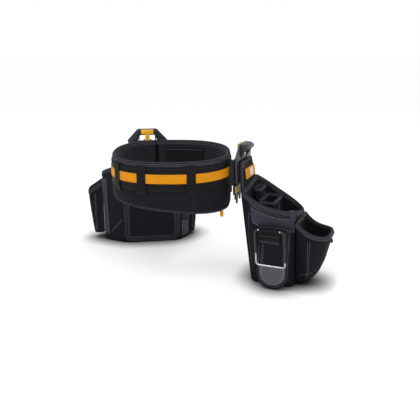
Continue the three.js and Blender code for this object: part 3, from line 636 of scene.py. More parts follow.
def wide_pad_edge(angle):
    """The wide pad's lower edge, with a rounded corner at each end."""
    per_degree = RING_RADIUS * math.pi / 180

    def rise(distance, radius):
        inside = max(0.0, radius - distance)
        return radius - math.sqrt(radius * radius - inside * inside)

    skew = WIDE_PAD_SKEW * math.cos(math.radians(angle))
    left = rise((angle - BACK_FROM) * per_degree, CORNER_LEFT)
    right = rise((BACK_TO - angle) * per_degree, CORNER_RIGHT)
    return WIDE_PAD_LOW - skew + left + right


def wing_edge(_angle):
    return WING_LOW


def ease(value, low, high):
    share = min(max((value - low) / (high - low), 0.0), 1.0)
    return share * share * (3 - 2 * share)


def seam_dip(angle, seams):
    """1 on a seam, falling away to nothing a few degrees from it."""
    return max(math.exp(-((angle - seam) / SEAM_DEGREES) ** 2) for seam in seams)


def foam_face(low_at, seams, seed, angle, z):
    """How far the padding's outer cloth stands from the ring's line."""
    low = low_at(angle)
    edge = min(ease(z - low, 0.0, 0.012), ease(RIM_Z - 0.006 - z, 0.0, 0.010))
    under_web = ease(z, WEBBING_LOW - 0.010, WEBBING_LOW - 0.002)
    spot, _ = ring_spot(angle, 0, z)
    puff = (0.0022 + 0.0012 * smooth_noise(spot, 16, seed)) * (1 - under_web)
    share = min(max((z - low) / max(WEBBING_LOW - low, 1e-6), 0), 1)
    middle = math.sin(math.pi * share) ** 0.6
    pucker = 0.00035 * math.sin(angle * 6.1) * (1 - ease(z - low, 0.010, 0.024))
    dip = 0.0016 * seam_dip(angle, seams) * (1 - under_web)
    return -0.0017 + 0.0016 * edge + puff * middle * edge + (pucker - dip) * edge * (1 - under_web)


def lining_face(low_at, seams, seed, angle, z):
    """How far the lining's inside stands in from the ring's line, as a negative offset."""
    low = low_at(angle)
    edge = min(ease(z - low, 0.0, 0.012), ease(RIM_Z - 0.006 - z, 0.0, 0.012))
    spot, _ = ring_spot(angle, 0, z)
    guard = 1 - ease(angle % 360, 50, 57) * (1 - ease(angle % 360, 100, 107))
    puff = (0.0013 + 0.0012 * smooth_noise(spot, 22, seed)) * guard
    quilt = abs(math.sin(math.pi * (z - low) / 0.034)) ** 0.5
    dip = 0.0016 * seam_dip(angle, seams)
    return -0.0101 - 0.0015 * edge - (puff * quilt - dip * guard) * edge


def ring_panel(name, angles, low_at, outer, inner, material):
    """A closed strip of the ring between two faces, each a function of the angle and height."""
    inset, rows = 0.0065, 30
    loops = []
    for angle in angles:
        heights = np.linspace(low_at(angle) + inset, RIM_Z - inset, rows)
        outside = [ring_spot(angle, outer(angle, z), z)[0] for z in heights]
        inside = [ring_spot(angle, inner(angle, z), z)[0] for z in heights[::-1]]
        loops.append(outside + inside)
    return loft(name, loops, material, 55)


def turned_edges(path, side, hint):
    """Directions square to the path in the sheet, pointing the same way as the hint at the path's middle."""
    edge = unit(np.cross(side, tangents(path)))
    middle = len(path) // 2
    return edge * (1 if edge[middle].dot(np.array(hint, float)) > 0 else -1)


def ring_tape(name, spots, hint, node):
    """The binding along one edge of a pad."""
    half = 0.0042
    path, side = ring_line([(angle, PAD_INNER / 2, z) for angle, z in spots])
    path, side = spaced(path, 0.002, False, side)
    edge = turned_edges(path, side, hint)
    edge_tape(name, path - edge * (half + TAPE_THICK) * 0.7, side, edge, half, "belt", replaces=(node,))


def pad_section(node, start, stop, low_at, outer_seams, inner_seams, seed):
    """One section of the padding: foam, lining, both bindings and the stitched seams."""
    angles = np.arange(start + 0.15, stop, 0.9)
    foam_outer = partial(foam_face, low_at, outer_seams, seed)
    lining_inner = partial(lining_face, low_at, inner_seams, seed + 1)
    foam = ring_panel(f"{node}_foam", angles, low_at, foam_outer, lambda _a, _z: PAD_SPLIT, PAD_CLOTH)
    add_piece(foam, "belt", "pad_cloth", (node,))
    lining_outer = PAD_SPLIT - 0.0003
    lining = ring_panel(f"{node}_net", angles, low_at, lambda _a, _z: lining_outer, lining_inner, LINING)
    add_piece(lining, "belt", "lining_mesh", (f"{node}_lining",))
    top = [(angle, RIM_Z) for angle in np.linspace(start, stop, 90)]
    ring_tape(f"{node}_top_tape", top, (0, 0, 1), f"{node}_top_binding")
    bottom = [(angle, low_at(angle)) for angle in np.linspace(start, stop, 160)]
    ring_tape(f"{node}_bottom_tape", bottom, (0, 0, -1), f"{node}_bottom_binding")
    for k, seam in enumerate(outer_seams):
        heights = np.linspace(low_at(seam) + 0.014, WEBBING_LOW - 0.008, 12)
        for letter, angle in (("a", seam - 0.9), ("b", seam + 0.9)):
            row = ring_line([(angle, foam_outer(angle, z) + 0.0001, z) for z in heights])
            stitch_rows(f"{node}_seam_{k}_{letter}", [row], "belt", "pad_cloth", DARK_THREAD)


def make_pads():
    pad_section("back_pad", BACK_FROM, BACK_TO, wide_pad_edge, (205, 244, 292), (215, 262, 310), 3)
    pad_section("left_wing_pad", LEFT_WING_FROM, BACK_FROM - 0.3, wing_edge, (146,), (121, 150), 11)
    pad_section("right_wing_pad", BACK_TO + 0.3, RIGHT_WING_TO, wing_edge, (385,), (375, 412, 462), 17)


# ---------------------------------------------------------------- straps
def ribbon(name, path, normals, width, thick, material, across=10):
    """A flat strap with rounded selvedges; path is its middle line and normals face its front."""
    path, normals = spaced(path, 0.0025, False, normals)
    normals = unit(normals)
    along = tangents(path)
    over = np.cross(normals, along)
    half = width / 2
    rim = thick * 0.5
    front = [(x, rim) for x in np.linspace(half - rim, rim - half, across)]
    back = [(x, -rim) for x in np.linspace(rim - half, half - rim, across)]
    profile = [(half - rim * 0.3, rim * 0.7), *front, (rim * 0.3 - half, rim * 0.7)]
    profile += [(rim * 0.3 - half, -rim * 0.7), *back, (half - rim * 0.3, -rim * 0.7)]
    loops = [[p + o * x + n * y for x, y in profile] for p, n, o in zip(path, normals, over)]
    return loft(name, loops, material, 50)


def heights_of(node):
    low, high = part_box(node)
    return low.z, high.z


def ring_strap(name, node, start, stop, offset, thick, material, slot="webbing"):
    """A strap round part of the ring, as high as its CAD node."""
    low, high = heights_of(node)
    angles = np.linspace(start, stop, max(8, int(stop - start)))
    path, normals = ring_line([(angle, offset, (low + high) / 2) for angle in angles])
    strap = ribbon(name, path, normals, high - low, thick, material)
    add_piece(strap, "belt", slot, (node,))


def ring_stitches(name, node, margin, start, stop, offset, slot, material):
    """A row of stitches along both edges of a strap."""
    low, high = heights_of(node)
    angles = np.linspace(start, stop, 200)
    rows = [ring_line([(angle, offset, z) for angle in angles]) for z in (low + margin, high - margin)]
    stitch_rows(name, rows, "belt", slot, material)


def keeper(index, angle):
    """A strap over the webbing, sewn down on the pad above and below it."""
    steps = [
        (WEBBING_LOW - 0.0095, 0.0016), (WEBBING_LOW - 0.0050, 0.0017), (WEBBING_LOW - 0.0024, 0.0028),
        (WEBBING_LOW + 0.0010, 0.0042), (STRIPE_LOW - 0.0080, 0.0046), (STRIPE_LOW + 0.0010, 0.0052),
        (STRIPE_HIGH - 0.0010, 0.0052), (STRIPE_HIGH + 0.0080, 0.0046), (WEBBING_HIGH - 0.0010, 0.0042),
        (WEBBING_HIGH + 0.0022, 0.0028), (WEBBING_HIGH + 0.0045, 0.0012),
    ]
    path, outs = ring_line([(angle, offset, z) for z, offset in steps])
    sideways = np.cross(UP, outs[0])
    normals = unit(np.cross(sideways, tangents(path)))
    if normals[0].dot(outs[0]) < 0:
        normals = -normals
    strap = ribbon(f"keeper_{index}_strap", path, normals, KEEPER_WIDTH, 0.0017, WEB_CLOTH)
    add_piece(strap, "belt", "webbing", (f"keeper_{index}",))
    tacks = (
        (WEBBING_LOW - 0.0072, 0.0026), (WEBBING_LOW - 0.0048, 0.0027),
        (STRIPE_LOW - 0.0085, 0.0055), (STRIPE_HIGH + 0.0085, 0.0055),
    )
    rows = []
    for z, offset in tacks:
        base, out = ring_spot(angle, offset, z)
        line = base + np.linspace(-0.0105, 0.0105, 8)[:, None] * sideways
        rows.append((line, np.tile(out, (8, 1))))
    stitch_rows(f"keeper_{index}_tacks", rows, "belt", "webbing", DARK_THREAD)


def make_straps():
    ring_strap("waist_webbing", "belt_webbing", 94, 426, 0.00145, 0.0023, WEB_CLOTH)
    ring_stitches("waist_webbing_edge", "belt_webbing", 0.003, 96, 424, 0.0027, "webbing", DARK_THREAD)
    ring_strap("waist_stripe", "belt_stripe", 136, 344, 0.0034, 0.001, STRIPE_CLOTH, "yellow_cloth")
    ring_stitches(
        "waist_stripe_edge", "belt_stripe", 0.0022, 136.6, 343.4, 0.0040, "yellow_cloth", GOLD_THREAD,
    )
    ring_strap("waist_webbing_tail", "webbing_tail", 392, 424, 0.0038, 0.0017, WEB_CLOTH)
    ring_stitches("waist_tail_edge", "webbing_tail", 0.003, 393, 423, 0.0048, "webbing", DARK_THREAD)
    ring_strap("waist_tail_loop", "tail_loop", 398, 404, 0.0058, 0.0016, WEB_CLOTH)
    for index, angle in enumerate(KEEPER_ANGLES, 1):
        keeper(index, angle)


def make_guard_patch():
    """The patch that keeps the buckle off the waist, on the inside of the ring."""
    node = "buckle_guard_patch"
    ring_strap("buckle_guard", node, 57, 100, -0.0135, 0.0026, DARK_CLOTH, "lining_mesh")
    low, high = heights_of(node)
    rows = []
    for z in (low + 0.004, high - 0.004):
        points, outs = ring_line([(angle, -0.0149, z) for angle in np.linspace(59, 98, 60)])
        rows.append((points, -outs))
    stitch_rows("buckle_guard_stitches", rows, "belt", "lining_mesh", PALE_THREAD)


def make_pull_tab():
    low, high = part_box("pad_pull_tab")
    x, y = (low.x + high.x) / 2, (low.y + high.y) / 2
    turn = np.linspace(0, math.pi, 9)
    bottom = low.z + 0.0016
    fold = [(y + 0.0011 * math.cos(a), bottom - 0.0011 * math.sin(a)) for a in turn]
    line = [(y + 0.0011, high.z)] + fold + [(y - 0.0011, high.z)]
    path = np.array([(x, py, pz) for py, pz in line])
    normals = np.cross(tangents(path), np.array((1.0, 0, 0)))
    if normals[0][1] < 0:
        normals = -normals
    tab = ribbon("pull_tab_loop", path, normals, high.x - low.x, 0.0009, STRIPE_CLOTH)
    add_piece(tab, "belt", "yellow_cloth", ("pad_pull_tab",))


# ---------------------------------------------------------------- hubs, catches, clips and the buckle
class Hub:
    """A pouch's own axes: x out from the belt, y across it and z up, with its origin on the floor."""

    def __init__(self, side):
        joint = next(j for j in frame["joints"] if j["name"] == f"{side}_catch_press")
        self.side = side
        self.across = -unit(np.array(joint["axis"], float))
        self.out = np.cross(self.across, UP)
        place = np.array(joint["pos_m"], float) - self.out * CATCH_PIVOT_OUT
        self.origin = np.array((place[0], place[1], 0.0))

    def points(self, local):
        local = np.asarray(local, float)
        return self.origin + local[..., 0:1] * self.out + local[..., 1:2] * self.across + local[..., 2:3] * UP

    def directions(self, local):
        local = np.asarray(local, float)
        return local[..., 0:1] * self.out + local[..., 1:2] * self.across + local[..., 2:3] * UP

    def back_at(self, z):
        return PANEL_TOP + LEAN[self.side] * (NECK_TOP - z)


def bar(hub, x, y, z, bevel):
    """A box with rounded edges from ranges along the hub's axes, as (vertices, faces)."""
    corners = [(a, b, c) for a in x for b in y for c in z]
    work = bmesh.new()
    made = [work.verts.new(hub.points(np.array(corner))) for corner in corners]
    for face in ((0, 1, 3, 2), (4, 6, 7, 5), (0, 4, 5, 1), (2, 3, 7, 6), (0, 2, 6, 4), (1, 5, 7, 3)):
        work.faces.new([made[k] for k in face])
    bmesh.ops.bevel(work, geom=work.edges[:], offset=bevel, segments=2, affect="EDGES", profile=0.5)
    work.verts.index_update()
    vertices = [tuple(v.co) for v in work.verts]
    faces = [tuple(v.index for v in face.verts) for face in work.faces]
    work.free()
    return vertices, faces


def bars(name, boxes, hub, material, body, slot, bevel=0.0006):
    vertices, faces = [], []
    for x, y, z in boxes:
        new_vertices, new_faces = bar(hub, x, y, z, bevel)
        start = len(vertices)
        vertices += new_vertices
        faces += [tuple(start + k for k in face) for face in new_faces]
    add_piece(new_object(name, vertices, faces, material, sharp=40), body, slot)


def stack(low, pitch, height, count):
    """The height ranges of evenly spaced ribs."""
    return [(low + pitch * k, low + pitch * k + height) for k in range(count)]


def hub_trim(hub):
    """Ribs down both edges of the hub plate, and grip ridges on the catch."""
    side = hub.side
    ribs = []
    for end in (-1, 1):
        y = sorted((end * 0.0440, end * 0.0458))
        ribs += [((0.0006, 0.0046), y, z) for z in stack(low=0.270, pitch=0.0076, height=0.0036, count=9)]
    bars(f"{side}_hub_ribs", ribs, hub, BLACK_PLASTIC, "belt", "black_plastic")
    heights = stack(low=0.3690, pitch=0.0032, height=0.0014, count=3)
    ridges = [((0.0104, 0.0113), (-0.0150, 0.0150), z) for z in heights]
    bars(f"{side}_catch_ridges", ridges, hub, YELLOW_PLASTIC, f"{side}_catch_lever", "yellow_plastic", 0.0003)
    raised, inside = (0.0188, 0.0202), (-0.0455, 0.0455)
    border = [(raised, sorted((end * 0.0455, end * 0.0478)), (0.276, 0.334)) for end in (-1, 1)]
    border += [(raised, inside, z) for z in ((0.276, 0.2782), (0.3318, 0.334))]
    # the clip border uses the paler black plastic, a painted highlight
    bars(f"{side}_clip_border", border, hub, HIGHLIGHT_PAINTED_PLASTIC, f"{side}_pouch", "black_plastic")


def hub_flange(hub):
    """A ribbed wall on the hub's near edge that reaches back towards the webbing."""
    boxes = [((-0.0062, 0.0008), (-0.0456, -0.0430), (0.2480, 0.3410))]
    for z in stack(low=0.2500, pitch=0.0082, height=0.0040, count=11):
        boxes.append(((-0.0056, 0.0008), (-0.0468, -0.0450), z))
    bars(f"{hub.side}_hub_flange", boxes, hub, BLACK_PLASTIC, "belt", "black_plastic")


def clip_cheeks(hub):
    """Gussets that close both ends of the clip's hooded top."""
    outline = ((0.0190, 0.3400), (0.0355, 0.3655), (0.0375, 0.3730), (0.0190, 0.3770))
    for end, y in (("near", -0.0270), ("far", 0.0242)):
        loops = [hub.points(np.array([(x, y + deep, z) for x, z in outline])) for deep in (0.0, 0.0028)]
        # the cheeks use the paler black plastic, a painted highlight
        cheek = loft(f"{hub.side}_clip_{end}_cheek", loops, HIGHLIGHT_PAINTED_PLASTIC, 30)
        add_piece(cheek, f"{hub.side}_pouch", "black_plastic")


def make_hardware(hubs):
    for side, hub in hubs.items():
        lever = f"{side}_catch_lever"
        pouch = f"{side}_pouch"
        refined(f"{side}_hub_plate", BLACK_PLASTIC, "belt", "black_plastic")
        refined(f"{side}_hub_comb", BLACK_PLASTIC, "belt", "black_plastic", 0.0008)
        refined(f"{side}_hub_backing", BLACK_PLASTIC, "belt", "black_plastic", 0.0005)
        refined(f"{side}_hub_tab", YELLOW_PLASTIC, "belt", "yellow_plastic", 0.0010, 3)
        refined(f"{side}_catch", YELLOW_PLASTIC, lever, "yellow_plastic", 0.0010, 3)
        # the clip uses the paler black plastic, a painted highlight
        refined(f"{side}_clip", HIGHLIGHT_PAINTED_PLASTIC, pouch, "black_plastic", 0.0008, 2)
        for k in (1, 2):
            refined(f"{side}_panel_rivet_{k}", BLACK_PLASTIC, pouch, "black_plastic", 0.0004)
        hub_trim(hub)
        hub_flange(hub)
        clip_cheeks(hub)
    for part, body in (
        ("plug", "belt"), ("socket", "belt"), ("upper_prong", "upper_prong"), ("lower_prong", "lower_prong"),
    ):
        refined(f"buckle_{part}", BLACK_PLASTIC, body, "black_plastic", 0.0008)


# ---------------------------------------------------------------- flat padded panels
def bezier(a, b, c, steps):
    share = np.linspace(0, 1, steps + 1)[:, None]
    a, b, c = (np.array(point, float) for point in (a, b, c))
    return (1 - share) ** 2 * a + 2 * share * (1 - share) * b + share ** 2 * c


def leaf_outline(side, half, flare):
    """Closed outline of a back panel across (y) and up (z), anticlockwise from its lower left corner."""
    neck, shoulder = NECK[side]
    corner = PANEL_CORNER[side]
    low, high = SHIFT[side] - half, SHIFT[side] + half
    right = [
        bezier((high - corner, 0.001), (high, 0.001), (high, corner + 0.004), 8),
        bezier((high, flare), (shoulder + 0.004, flare + 0.022), (shoulder, flare + 0.058), 12),
        [(neck, NECK_TOP)],
    ]
    left = [
        [(-neck, NECK_TOP)],
        bezier((-shoulder, flare + 0.058), (-shoulder - 0.004, flare + 0.022), (low, flare), 12),
        bezier((low, corner + 0.004), (low, 0.001), (low + corner, 0.001), 8),
    ]
    points = np.vstack([np.array(part, float) for part in right + left])
    keep = np.concatenate(([True], np.linalg.norm(np.diff(points, axis=0), axis=1) > 1e-5))
    return points[keep]


def even_outline(points, spacing):
    loop = np.column_stack((points, np.zeros(len(points))))
    return spaced(loop, spacing, True)[0][:, :2]


def shrink(points, distance):
    """An anticlockwise outline moved inwards, without the parts that come too near the old one."""
    points = even_outline(points, 0.002)
    moved = points + distance * inward(points)
    nearest = np.array([np.linalg.norm(points - p, axis=1).min() for p in moved])
    return moved[nearest > distance * 0.97]


def edge_distance(outline, spots):
    outline = even_outline(outline, 0.002)
    return np.array([np.linalg.norm(outline - spot, axis=1).min() for spot in spots])


def row_spans(outline, heights):
    """Lowest and highest first coordinate of the outline at each second coordinate."""
    outline = even_outline(outline, 0.0005)
    spans = []
    for height in heights:
        near = outline[np.abs(outline[:, 1] - height) < 0.0009]
        spans.append((near[:, 0].min(), near[:, 0].max()))
    return np.array(spans)


def padded_panel(name, outline, place, thick, edge_thick, material, rows=70, columns=40, seed=2):
    """A quilted panel over an outline. place(u, v, w) gives the point at height w above the panel's back."""
    low, high = outline[:, 1].min() + 0.0005, outline[:, 1].max() - 0.0005
    heights = np.linspace(low, high, rows)
    spans = row_spans(outline, heights)
    spots = []
    for height, (start, stop) in zip(heights, spans):
        for share in np.linspace(0, 1, columns):
            spots.append((start + (stop - start) * share, height))
    spots = np.array(spots)
    depth = edge_distance(outline, spots)
    fullness = 1 - np.exp(-depth / 0.007)
    front, back = [], []
    for (u, v), full in zip(spots, fullness):
        waves = 0.0008 * smooth_noise((u, v, 0), 24, seed) * full
        half = (thick - edge_thick) / 2
        front.append(place(u, v, half + edge_thick + half * full * 0.9 + waves))
        back.append(place(u, v, half * (1 - full * 0.9) + waves * 0.3))
    return slab_mesh(name, front, back, rows, columns, material)


def panel_line(line, place, height):
    """Points and normals of an outline at one height over a panel's back."""
    points = np.array([place(u, v, height) for u, v in line])
    normal = unit(place(*line[0], height + 0.01) - points[0])
    return points, np.tile(normal, (len(points), 1))


def panel_rows(outline, place, height, insets):
    return [panel_line(even_outline(shrink(outline, inset), 0.004), place, height) for inset in insets]


def panel_tape(name, outline, place, thick, edge_thick, body, material):
    points, side = panel_line(even_outline(outline, 0.003), place, thick / 2)
    edge = unit(np.cross(tangents(points, True), side))
    away = points - points.mean(axis=0)
    if (edge * away).sum() < 0:
        edge = -edge
    half = edge_thick / 2 + 0.0002
    path = points - edge * (half + TAPE_THICK) * 0.7
    edge_tape(name, path, side, edge, half, body, material, closed=True)


def leaf_panel(hub, half, flare):
    """The back panel of a pouch, from its foot to the neck behind the clip."""
    side = hub.side
    outline = leaf_outline(side, half, flare)
    lean = LEAN[side]
    square = unit(np.array((1.0, 0.0, lean)))

    def place(u, v, w):
        base = np.array((hub.back_at(v) - PANEL_THICK, u, v))
        return hub.points(base + square * w * 0.97)

    body = f"{side}_pouch"
    panel = padded_panel(f"{side}_back_panel_body", outline, place, PANEL_THICK, 0.003, BAG_CLOTH)
    add_piece(panel, body, "bag_cloth", (f"{side}_back_panel",))
    tape = DARK_TAPE if side == "left" else TAPE_CLOTH
    panel_tape(f"{side}_back_panel_tape", outline, place, PANEL_THICK, 0.003, body, tape)
    back_rows = panel_rows(outline, place, -0.0001, (0.015, 0.019))
    back_rows = [(points, -normals) for points, normals in back_rows]
    stitch_rows(f"{side}_back_panel_stitches", back_rows, body, "bag_cloth", PALE_THREAD, True)


# ---------------------------------------------------------------- pockets
def round_loop(corners, count):
    """Even anticlockwise points round corners that are each (x, y, radius)."""
    points = []
    for i, (x, y, radius) in enumerate(corners):
        here = np.array((x, y))
        before = np.array(corners[i - 1][:2])
        after = np.array(corners[(i + 1) % len(corners)][:2])
        start = here + unit(before - here) * radius
        stop = here + unit(after - here) * radius
        points.append(bezier(start, here, stop, 8))
    points = np.vstack(points)
    return even_outline(points, path_length(points) / count)[:count]


def path_length(points):
    return np.linalg.norm(np.roll(points, -1, axis=0) - points, axis=1).sum()


def inward(points):
    """The way in at each point of a closed anticlockwise outline."""
    along = tangents(points, True)
    return np.column_stack((-along[:, 1], along[:, 0]))


class Pocket:
    """An open-topped sewn pocket: its outer and inner grids, from the foot to the rim, in hub axes."""

    def __init__(self, hub, outline, wander, bottom, rim, wall, foot=0.006, rows=44, levels=None):
        self.hub, self.rim, self.bottom, self.wall, self.foot = hub, rim, bottom, wall, foot
        self.body = f"{hub.side}_pouch"
        self.levels = levels or (bottom, 0.36)
        self.outlines = np.array([outline(z) for z in self.levels])
        sides = [self.wall_row(wander, step / (rows - 1)) for step in range(rows)]
        foot_rows = [self.foot_row(step) for step in range(FOOT_ROWS)]
        self.outer = np.array(foot_rows + [outside for outside, _ in sides])
        self.inner = np.array([inside for _, inside in sides])
        self.face = Surface(hub.points(self.outer))

    def plan(self, z):
        """Each point's place in the outline at its own height."""
        levels, columns = self.levels, np.arange(len(z))
        place = np.clip(np.interp(z, levels, np.arange(len(levels))), 0, len(levels) - 1.000001)
        low = place.astype(int)
        share = (place - low)[:, None]
        return self.outlines[low, columns] * (1 - share) + self.outlines[low + 1, columns] * share

    def foot_row(self, step):
        """A row of the foot's rounded edge."""
        angle = math.pi / 2 * step / FOOT_ROWS
        z = np.full(self.outlines.shape[1], self.bottom + self.foot * (1 - math.cos(angle)))
        line = self.plan(z)
        inset = self.foot * (1 - math.sin(angle))
        return np.column_stack((line + inward(line) * inset, z))

    def wall_row(self, wander, share):
        """The outer and inner points at a share of the way from the foot to the rim."""
        low = self.bottom + self.foot
        z = np.full(self.outlines.shape[1], low + share * 0.1)
        for _ in range(5):
            top = np.array([self.rim(x, y) for x, y in self.plan(z)])
            z = low + share * (top - self.bottom - self.foot)
        line = self.plan(z)
        towards = inward(line)
        push = np.array([wander(x, y, height, share) for (x, y), height in zip(line, z)])
        line = line - towards * push[:, None]
        inside = line + towards * self.wall
        return np.column_stack((line, z)), np.column_stack((inside, np.maximum(z, self.bottom + self.wall)))

    def sew(self, node, width=TAPE_WIDTH):
        """The pocket's cloth, in place of its CAD node, and the binding round its rim."""
        top = (self.outer[-1] + self.inner[-1]) / 2 + np.array((0, 0, self.wall * 0.3))
        floor = self.inner[0].copy()
        floor[:, :2] += inward(floor[:, :2]) * 0.004
        floor[:, 2] = self.bottom + self.wall
        loops = np.concatenate((self.outer, top[None], self.inner[::-1], floor[None]))
        shell = loft(f"{node}_body", self.hub.points(loops), BAG_CLOTH, 65)
        add_piece(shell, self.body, "bag_cloth", (node,))
        bound_rim(f"{node}_tape", self, width)

    def spot(self, x, y, z):
        """(s, t) of the place on the wall nearest to that point in hub axes."""
        target = np.array((x, y, z))
        gap = np.linalg.norm(self.outer - target, axis=2)
        row, column = np.unravel_index(gap.argmin(), gap.shape)
        return row / (len(self.outer) - 1), column / self.outer.shape[1]

    def rim_path(self):
        path = self.hub.points((self.outer[-1] + self.inner[-1]) / 2)
        flat = inward(self.outer[-1][:, :2])
        side = self.hub.directions(np.column_stack((-flat, np.zeros(len(flat)))))
        edge = unit(self.hub.points(self.outer[-1]) - self.hub.points(self.outer[-2]))
        return path, side, edge


def bound_rim(name, pocket, width):
    path, side, edge = pocket.rim_path()
    half = pocket.wall / 2 + 0.0002
    edge_tape(name, path - edge * 0.0005, side, edge, half, pocket.body, width=width, closed=True)


def wall_seam(name, pocket, lines):
    """Stitched lines on a pocket's wall; each line is a list of places (x, y, z) in hub axes."""
    rows = []
    for line in lines:
        spots = unwrap([pocket.spot(*place) for place in fill_line(line)])
        rows.append(pocket.face.line(spots, SLAB_LIFT))
    stitch_rows(name, rows, pocket.body, "bag_cloth", PALE_THREAD)


def upright(x, y, low, high, count):
    """A seam's places straight up a wall."""
    return [(x, y, z) for z in np.linspace(low, high, count)]


def fill_line(places):
    places = np.array(places, float)
    travel = travelled(places)
    return resampled(places, travel, np.linspace(0, travel[-1], 24))


def unwrap(spots):
    """The same places with neighbours made smooth, so that a line doesn't step from column to column."""
    spots = np.array(spots)
    turns = np.unwrap(spots[:, 1] * 2 * math.pi) / (2 * math.pi)
    kernel = np.ones(5) / 5
    for values in (spots[:, 0], turns):
        padded = np.concatenate((np.full(2, values[0]), values, np.full(2, values[-1])))
        values[:] = np.convolve(padded, kernel, mode="valid")
    return np.column_stack((spots[:, 0], turns % 1.0))


def cloth_wander(seed, bulge, folds, held=None, low_belly=1.0):
    """Slack in a sewn wall: a soft belly, lower down with low_belly under 1, and hollows and creases."""
    def push(x, y, z, share):
        free = held(x, y, z) if held else 1.0
        belly = bulge * math.sin(math.pi * min(max(share, 0.0), 1.0) ** low_belly) ** 0.8
        hollows = folds * 1.3 * smooth_noise((x, y, z), 13, seed)
        creases = folds * smooth_noise((x * 1.4 + z * 0.5, y * 1.4, z * 0.5), 34, seed + 5)
        fine = 0.0004 * smooth_noise((x, y, z), 110, seed + 9)
        return (belly + hollows * share ** 0.4 + creases * (1 - 0.4 * share) + fine) * free
    return push


# ---------------------------------------------------------------- right pouch
def right_rim(x, y):
    near = 0.216 + 0.044 * (max(0.0, RIGHT_FRONT - x) / 0.150) ** 3
    far = 0.276 - 0.58 * (x - 0.040)
    return near + (far - near) * ease(y, -RIGHT_HALF, RIGHT_HALF)


def right_main_outline(hub, z):
    back = hub.back_at(z) + 0.0003
    middle = SHIFT["right"]
    return round_loop([
        (back, middle - RIGHT_HALF + 0.0043, 0.008),
        (RIGHT_FRONT - 0.0003, middle - RIGHT_HALF + 0.0003, 0.026),
        (RIGHT_FRONT - 0.0003, middle + RIGHT_HALF - 0.0003, 0.054),
        (back, middle + RIGHT_HALF - 0.0043, 0.008),
    ], 140)


def right_main_held(x, _y, z):
    """0 where the wall is held against another piece, and 1 where it hangs free."""
    from_back = ease(x, 0.062, 0.085)
    front = 1 - ease(x, RIGHT_FRONT - 0.030, RIGHT_FRONT - 0.006) * (1 - ease(z, 0.188, 0.2))
    return from_back * front


def make_right_main(hub):
    wander = cloth_wander(seed=21, bulge=0.0026, folds=0.0014, held=right_main_held)
    outline = partial(right_main_outline, hub)
    pocket = Pocket(hub, outline, wander, bottom=0.0, rim=right_rim, wall=0.0036)
    pocket.sew("right_main_pocket", MAIN_TAPE_WIDTH)
    near, far = SHIFT["right"] - RIGHT_HALF, SHIFT["right"] + RIGHT_HALF
    across = np.linspace(0.060, RIGHT_FRONT - 0.010, 12)
    lines = [[(x, near, right_rim(x, near) - drop) for x in across] for drop in (0.0145, 0.0180)]
    lines.append(upright(0.058, near, 0.020, 0.205, 8))
    lines.append(upright(RIGHT_FRONT - 0.012, near, 0.012, 0.200, 8))
    for x in (0.062, 0.0655, RIGHT_FRONT - 0.052):
        lines.append(upright(x, far, 0.014, right_rim(x, far) - 0.016, 10))
    lines.append([(x, far, 0.020) for x in np.linspace(0.070, RIGHT_FRONT - 0.060, 8)])
    wall_seam("right_main_pocket_seams", pocket, lines)
    return pocket


def make_near_band(pocket):
    """A strip of coated nylon under the near rim."""
    near = SHIFT["right"] - RIGHT_HALF
    start = pocket.spot(0.066, near, 0.180)[1]
    stop = pocket.spot(RIGHT_FRONT - 0.004, near + 0.012, 0.180)[1]
    low = pocket.spot(0.130, near, 0.160)[0]
    high = pocket.spot(0.130, near, 0.199)[0]
    band = pocket.face.slab("right_near_band", (low, high), (start, stop), 0.0011, GREY_NYLON, (10, 60))
    add_piece(band, "right_pouch", "grey_nylon")
    run = np.linspace(start + 0.01, stop - 0.01, 60)
    rows = [pocket.face.line([(s, t) for t in run], 0.0016) for s in (low + 0.012, high - 0.012)]
    stitch_rows("right_near_band_stitches", rows, "right_pouch", "grey_nylon", PALE_THREAD)


def leaning_box_outline(hub, x, y, radius, z):
    """A box's plan that follows the back panel's lean; x is measured out from the panel."""
    near, far = hub.back_at(z) + x[0], hub.back_at(z) + x[1]
    corners = ((near, y[0]), (far, y[0]), (far, y[1]), (near, y[1]))
    return round_loop([(*corner, radius) for corner in corners], 90)


def make_right_inner_pockets(hub):
    for node, seed, x, y, radius, bottom, top in (
        ("right_driver_pocket", 50, (0.007, 0.028), (0.006, 0.062), 0.007, 0.120, 0.252),
        ("right_inner_pocket", 49, (0.030, 0.074), (-0.030, 0.064), 0.010, 0.110, 0.226),
    ):
        outline = partial(leaning_box_outline, hub, x, y, radius)
        wander = cloth_wander(seed, bulge=0.0, folds=0.0007)

        def rim(_x, _y, level=top):
            return level

        pocket = Pocket(hub, outline, wander, bottom, rim, wall=0.0021, foot=0.004, rows=26)
        pocket.sew(node, 0.007)
        front = hub.back_at(top) + x[1]
        middle = (y[0] + y[1]) / 2
        seams = (middle - 0.0015, middle + 0.0015)
        lines = [upright(front, seam, bottom + 0.01, top - 0.012, 8) for seam in seams]
        wall_seam(f"{node}_seams", pocket, lines)


def front_pocket_outline(z):
    opened = min(1.0, z / 0.150)
    reach = RIGHT_FRONT + 0.0363 + 0.050 * opened
    half = 0.040 + 0.014 * opened
    corner = 0.028 + 0.006 * opened
    low, high = FRONT_POCKET_Y - half, FRONT_POCKET_Y + half
    return round_loop([
        (RIGHT_FRONT + 0.0003, low, 0.006), (reach, low, corner),
        (reach, high, corner), (RIGHT_FRONT + 0.0003, high, 0.006),
    ], 110)


def front_pocket_rim(x, _y):
    return 0.153 + 0.036 * (max(0.0, RIGHT_FRONT + 0.088 - x) / 0.088) ** 3


